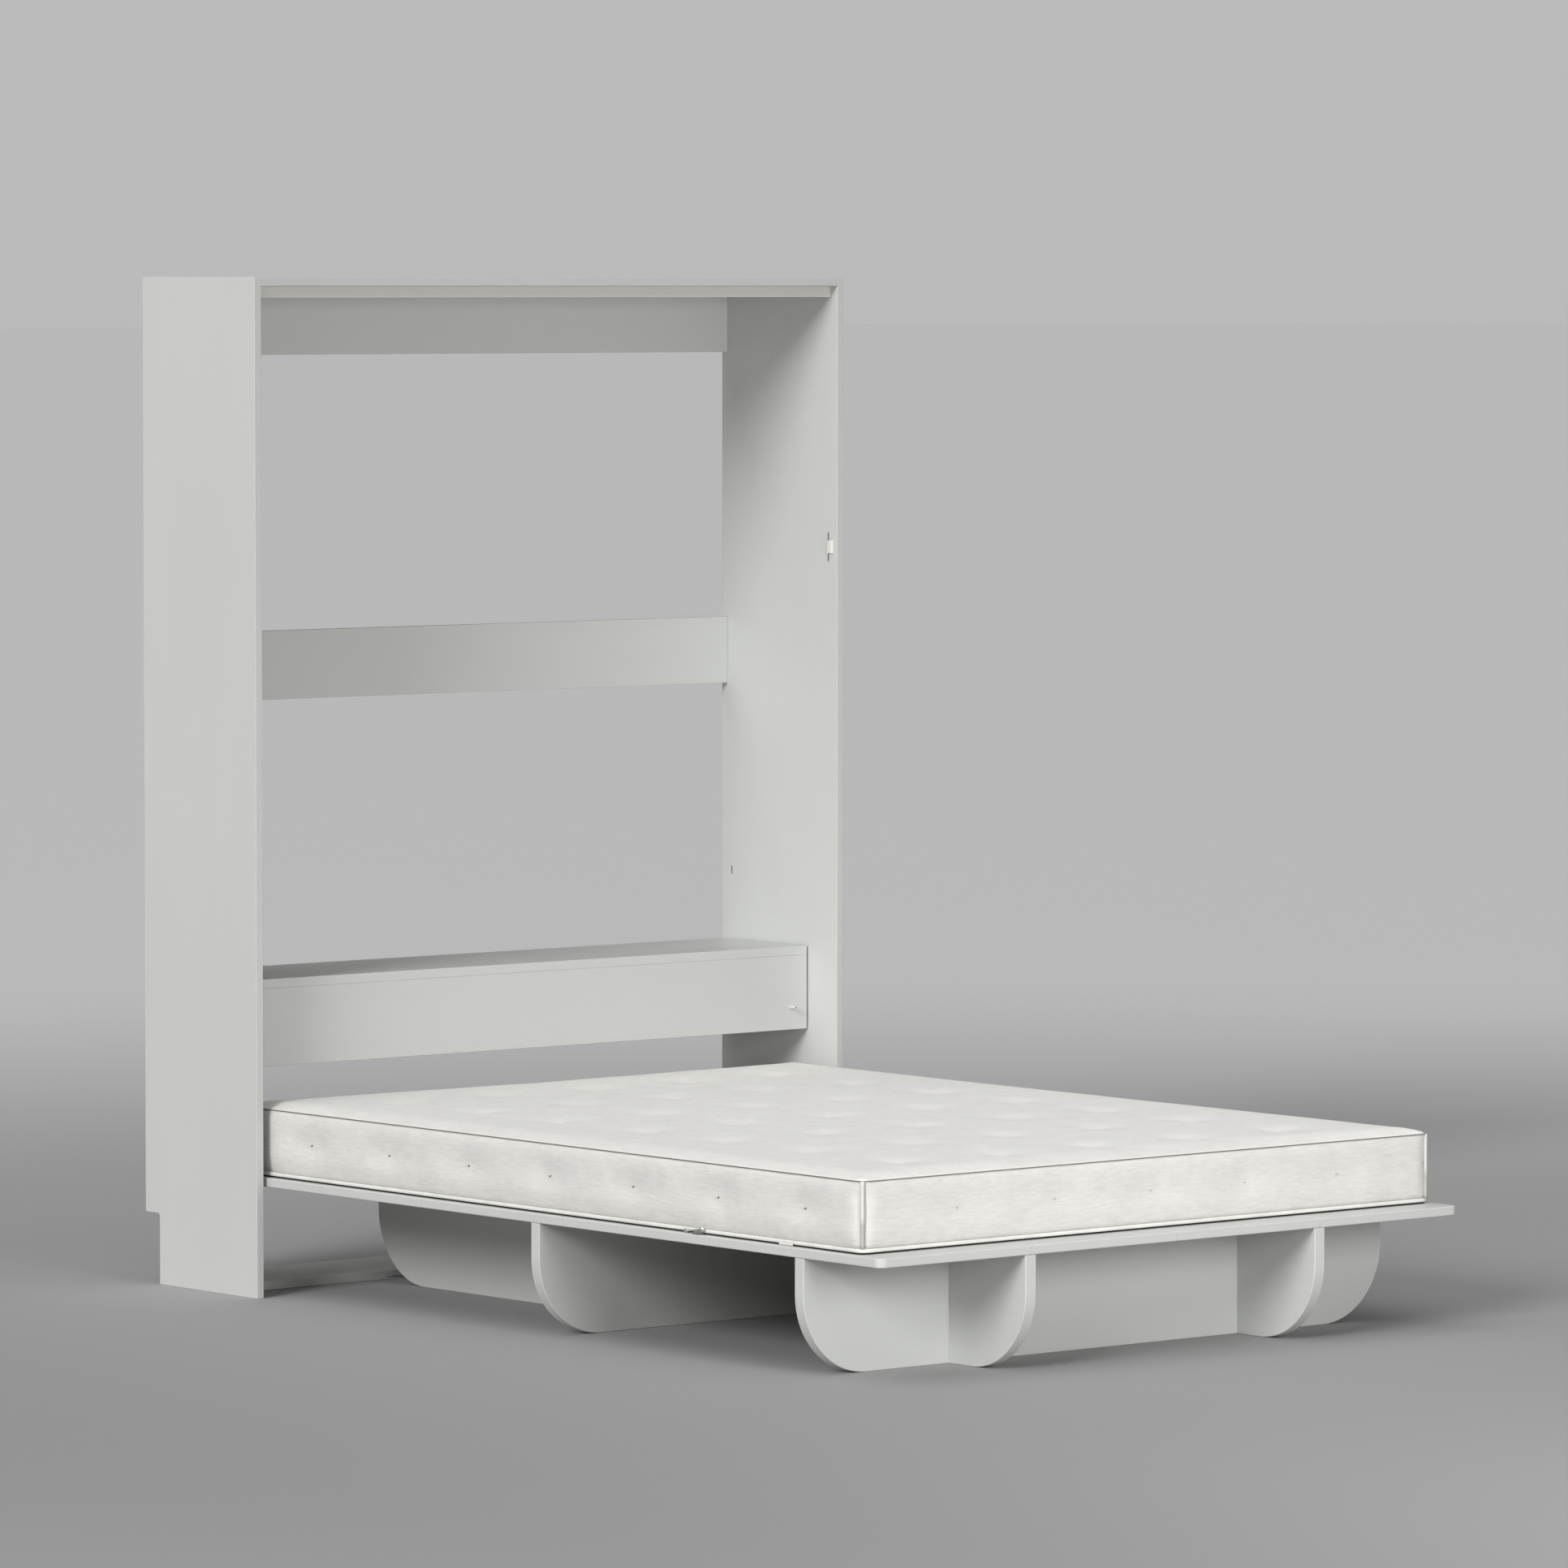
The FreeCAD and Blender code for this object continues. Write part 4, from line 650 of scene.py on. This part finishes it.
def simulate(body, held):
    """Inflates the mattress with Cloth, held at its seams and tufts, and keeps the result."""
    rest = [vertex.co.copy() for vertex in body.data.vertices]
    group = body.vertex_groups.new(name="held")
    for index, weight in held.items():
        group.add([index], weight, "REPLACE")
    cloth = body.modifiers.new("cloth", "CLOTH")
    settings = cloth.settings
    settings.quality = 4
    settings.mass = 0.35
    settings.tension_stiffness = 22
    settings.compression_stiffness = 22
    settings.shear_stiffness = 8
    settings.bending_stiffness = 0.6
    settings.use_pressure = True
    settings.uniform_pressure_force = 4.0
    settings.vertex_group_mass = "held"
    settings.effector_weights.gravity = 0.0
    cloth.collision_settings.use_collision = False
    cloth.point_cache.frame_start = 1
    cloth.point_cache.frame_end = SIM_FRAMES
    scene = bpy.context.scene
    for number in range(1, SIM_FRAMES + 1):
        scene.frame_set(number)
    shaped = body.evaluated_get(bpy.context.evaluated_depsgraph_get())
    swollen = [vertex.co.copy() for vertex in shaped.data.vertices]
    body.modifiers.remove(cloth)
    body.vertex_groups.clear()
    scene.frame_set(1)
    return rest, swollen


def capped(rest, swollen):
    """Limits how far each point may have moved, on the top and on the border."""
    for before, after in zip(rest, swollen):
        move = after - before
        cap = TOP_CAP if before.z >= TOP_Z - TINY else SIDE_CAP
        if move.length > cap:
            move *= cap / move.length
        yield before + move


def make_mattress():
    """The stuffed body of the mattress."""
    data = mattress_mesh()
    body = bpy.data.objects.new("mattress_body", data)
    bpy.context.scene.collection.objects.link(body)
    data.materials.append(ticking_side)
    data.materials.append(ticking_top_painted_light)
    held = {}
    for index, vertex in enumerate(data.vertices):
        point = vertex.co
        x, y = point.x - MIDDLE.x, point.y - MIDDLE.y
        on_top = point.z > TOP_Z - TINY
        if point.z < BASE_Z + TINY or (on_top and edge_distance(x, y) < 1e-4):
            held[index] = 1.0
        elif on_top and tuft_distance(point.x, point.y) < CELL * 0.75:
            held[index] = HELD_TUFT
    rest, swollen = simulate(body, held)
    for vertex, place in zip(data.vertices, capped(rest, swollen)):
        vertex.co = place
    for vertex in data.vertices:
        draw_in(vertex.co)
    smooth = body.modifiers.new("finer", "SUBSURF")
    smooth.levels = smooth.render_levels = 1
    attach(body, "bed")
    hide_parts("mattress")
    return body


def skin_rings(mesh, rings, closed=False):
    """Joins rings of points into a tube, with a cap at each end unless it is closed."""
    for first, second in zip(rings, rings[1:] + rings[:1] if closed else rings[1:]):
        for index in range(len(first)):
            after = (index + 1) % len(first)
            mesh.faces.new((first[index], second[index], second[after], first[after]))
    if not closed:
        mesh.faces.new(rings[0])
        mesh.faces.new(list(reversed(rings[-1])))


def sewn_piece(mesh, name, material, smooth):
    """Turns a mesh into a piece of the bed."""
    bmesh.ops.recalc_face_normals(mesh, faces=mesh.faces)
    for face in mesh.faces:
        face.smooth = smooth
    data = bpy.data.meshes.new(name)
    mesh.to_mesh(data)
    mesh.free()
    data.materials.append(material)
    piece = bpy.data.objects.new(name, data)
    bpy.context.scene.collection.objects.link(piece)
    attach(piece, "bed")
    return piece


def add_tube(mesh, points, radius, closed, flat, sides):
    """Adds a cord of round or flattened section along a line of points."""
    count = len(points)
    rings = []
    for index, point in enumerate(points):
        if closed:
            ahead = points[(index + 1) % count] - points[index - 1]
        else:
            ahead = points[min(index + 1, count - 1)] - points[max(index - 1, 0)]
        ahead.normalize()
        upward = Vector((0, 0, 1)) if abs(ahead.z) < 0.9 else Vector((1, 0, 0))
        across = ahead.cross(upward).normalized()
        upward = across.cross(ahead)
        ring = []
        for side in range(sides):
            turn = 2 * math.pi * side / sides
            offset = across * math.cos(turn) * radius + upward * math.sin(turn) * radius * flat
            ring.append(mesh.verts.new(point + offset))
        rings.append(ring)
    skin_rings(mesh, rings, closed)


def sewn_cord(name, lines, radius, material, closed=True, flat=1.0, sides=12):
    """A piece made of one or more sewn cords."""
    mesh = bmesh.new()
    for points in lines:
        add_tube(mesh, points, radius, closed, flat, sides)
    return sewn_piece(mesh, name, material, smooth=True)


def ring_points(z, grow, step=5 * MM):
    """Points round the mattress at one height."""
    count = round(OUTLINE / step)
    points = []
    for index in range(count):
        place, _ = outline_point(OUTLINE * index / count, grow)
        points.append(Vector((MIDDLE.x + place.x, MIDDLE.y + place.y, z)))
    return points


def edge_trim():
    """A dark cord under the top's rolled edge as painted shade in the seam, a grey cord along
    the tape's upper seam as painted shade, the tape, and a near-black band at the bottom as
    painted shade in the gap above the deck.
    """
    # Dark cord: painted shade in the groove under the rolled edge.
    sewn_cord("mattress_top_seam_shade", [ring_points(TOP_Z - 0.4 * MM, 0.1 * MM)], 1.0 * MM,
              seam_shadow)
    # Grey cord: painted shade along the tape's upper seam.
    sewn_cord("mattress_tape_seam_shade", [ring_points(BASE_Z + 11.4 * MM, 0.2 * MM)], 0.6 * MM,
              pale_seam_shade)
    sewn_cord("mattress_tape_bottom", [ring_points(BASE_Z + 6.6 * MM, -0.5 * MM)], 2.3 * MM,
              tape, flat=1.75)
    # Near-black band drawn in at the bottom: painted shade in the gap above the deck.
    sewn_cord("mattress_base_gap_shade", [ring_points(BASE_Z + 1.4 * MM, -2.6 * MM)], 1.7 * MM,
              base_gap_shade)


def upright(distance, low, high, steps=16):
    """A vertical line of points on the border, at a distance along the outline."""
    place, _ = outline_point(distance, 0.4 * MM)
    return [Vector((MIDDLE.x + place.x, MIDDLE.y + place.y, low + (high - low) * step / steps))
            for step in range(steps + 1)]


def corner_trim():
    """A cord up each corner, with a thin grey cord beside it as a painted shadow line."""
    low, high = BASE_Z + 11 * MM, TOP_Z - 0.5 * MM
    turn = low + 0.38 * (high - low)
    cord = corner_cord("mattress_corner_cord", (0.74, 0.73, 0.70), (0.54, 0.53, 0.50),
                       turn - 6 * MM, turn + 12 * MM)
    middles = [STRAIGHT_X + CORNER_ARC / 2, STRAIGHT_X + STRAIGHT_Y + 1.5 * CORNER_ARC,
               2 * STRAIGHT_X + STRAIGHT_Y + 2.5 * CORNER_ARC, -CORNER_ARC / 2]
    sewn_cord("mattress_corner_cords", [upright(at, low, high) for at in middles], 4.2 * MM,
              cord, closed=False)
    # Grey cord beside each corner cord: painted shadow line along the seam.
    sewn_cord("mattress_corner_seam_shadows", [upright(at + 5.2 * MM, low, high) for at in middles],
              0.9 * MM, pale_seam_shade, closed=False)


def tuft_thread(skin, place, along):
    """The knotted thread end of one border tuft, lying on the skin."""
    spot, normal, _, _ = skin.find_nearest(place)
    upward = Vector((0, 0, 1))
    return [spot + normal * 0.5 * MM + along * reach * MM + upward * rise * MM
            for reach, rise in ((-3.4, 0.6), (-1.2, -1.0), (0.4, -1.4), (3.2, 2.2))]


def tuft_threads(body):
    """Thread ends where the border is tufted; their dark grey along the sides and mid grey at
    both ends is painted shade at the tufts.
    """
    skin = BVHTree.FromObject(body, bpy.context.evaluated_depsgraph_get())
    sides, ends = [], []
    for side in (-1, 1):
        for y in TUFT_ROWS:
            place = Vector((MIDDLE.x + side * HALF_X, y, TUFT_HEIGHT))
            sides.append(tuft_thread(skin, place, Vector((0, -1, 0))))
        for x in TUFT_COLUMNS:
            place = Vector((x, MIDDLE.y + side * HALF_Y, TUFT_HEIGHT))
            ends.append(tuft_thread(skin, place, Vector((1, 0, 0))))
    # Thread ends: real knots, with their darkness painted shade in the tufts' hollows.
    sewn_cord("mattress_tuft_threads_and_shade", sides, 1.0 * MM, seam_shadow, closed=False, sides=8)
    sewn_cord("mattress_end_threads_and_shade", ends, 0.8 * MM, pale_seam_shade, closed=False, sides=8)


mattress_body = make_mattress()
edge_trim()
corner_trim()
tuft_threads(mattress_body)


# ---------------------------------------------------------------- strap tabs

def strap_tab(side, label):
    """A folded end of elastic webbing that comes out between mattress and deck."""
    low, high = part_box(f"mattress_strap_tab_{label}")
    mesh = bmesh.new()
    length_steps, fold_steps = 20, 14
    thickness = 1.3 * MM
    radius = (high.z - low.z) / 2 - thickness / 2
    middle_z = (low.z + high.z) / 2
    inner_x = low.x if side > 0 else high.x
    rings = []
    for step in range(length_steps + 1):
        y = low.y + (high.y - low.y) * step / length_steps
        wave = 0.25 * MM * math.sin(9.0 * step / length_steps)
        ring = []
        for r in (radius + thickness / 2, radius - thickness / 2):
            turns = range(fold_steps + 1)
            if r < radius:
                turns = reversed(turns)
            for fold in turns:
                turn = -math.pi / 2 + math.pi * fold / fold_steps
                x = inner_x + side * (1.6 * MM + r * 0.9 * math.cos(turn) + wave)
                ring.append(mesh.verts.new((x, y, middle_z + r * math.sin(turn))))
        rings.append(ring)
    skin_rings(mesh, rings)
    piece = sewn_piece(mesh, f"strap_loop_{label}", webbing, smooth=False)
    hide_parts(f"mattress_strap_tab_{label}")


strap_tab(-1, "left")
strap_tab(1, "right")
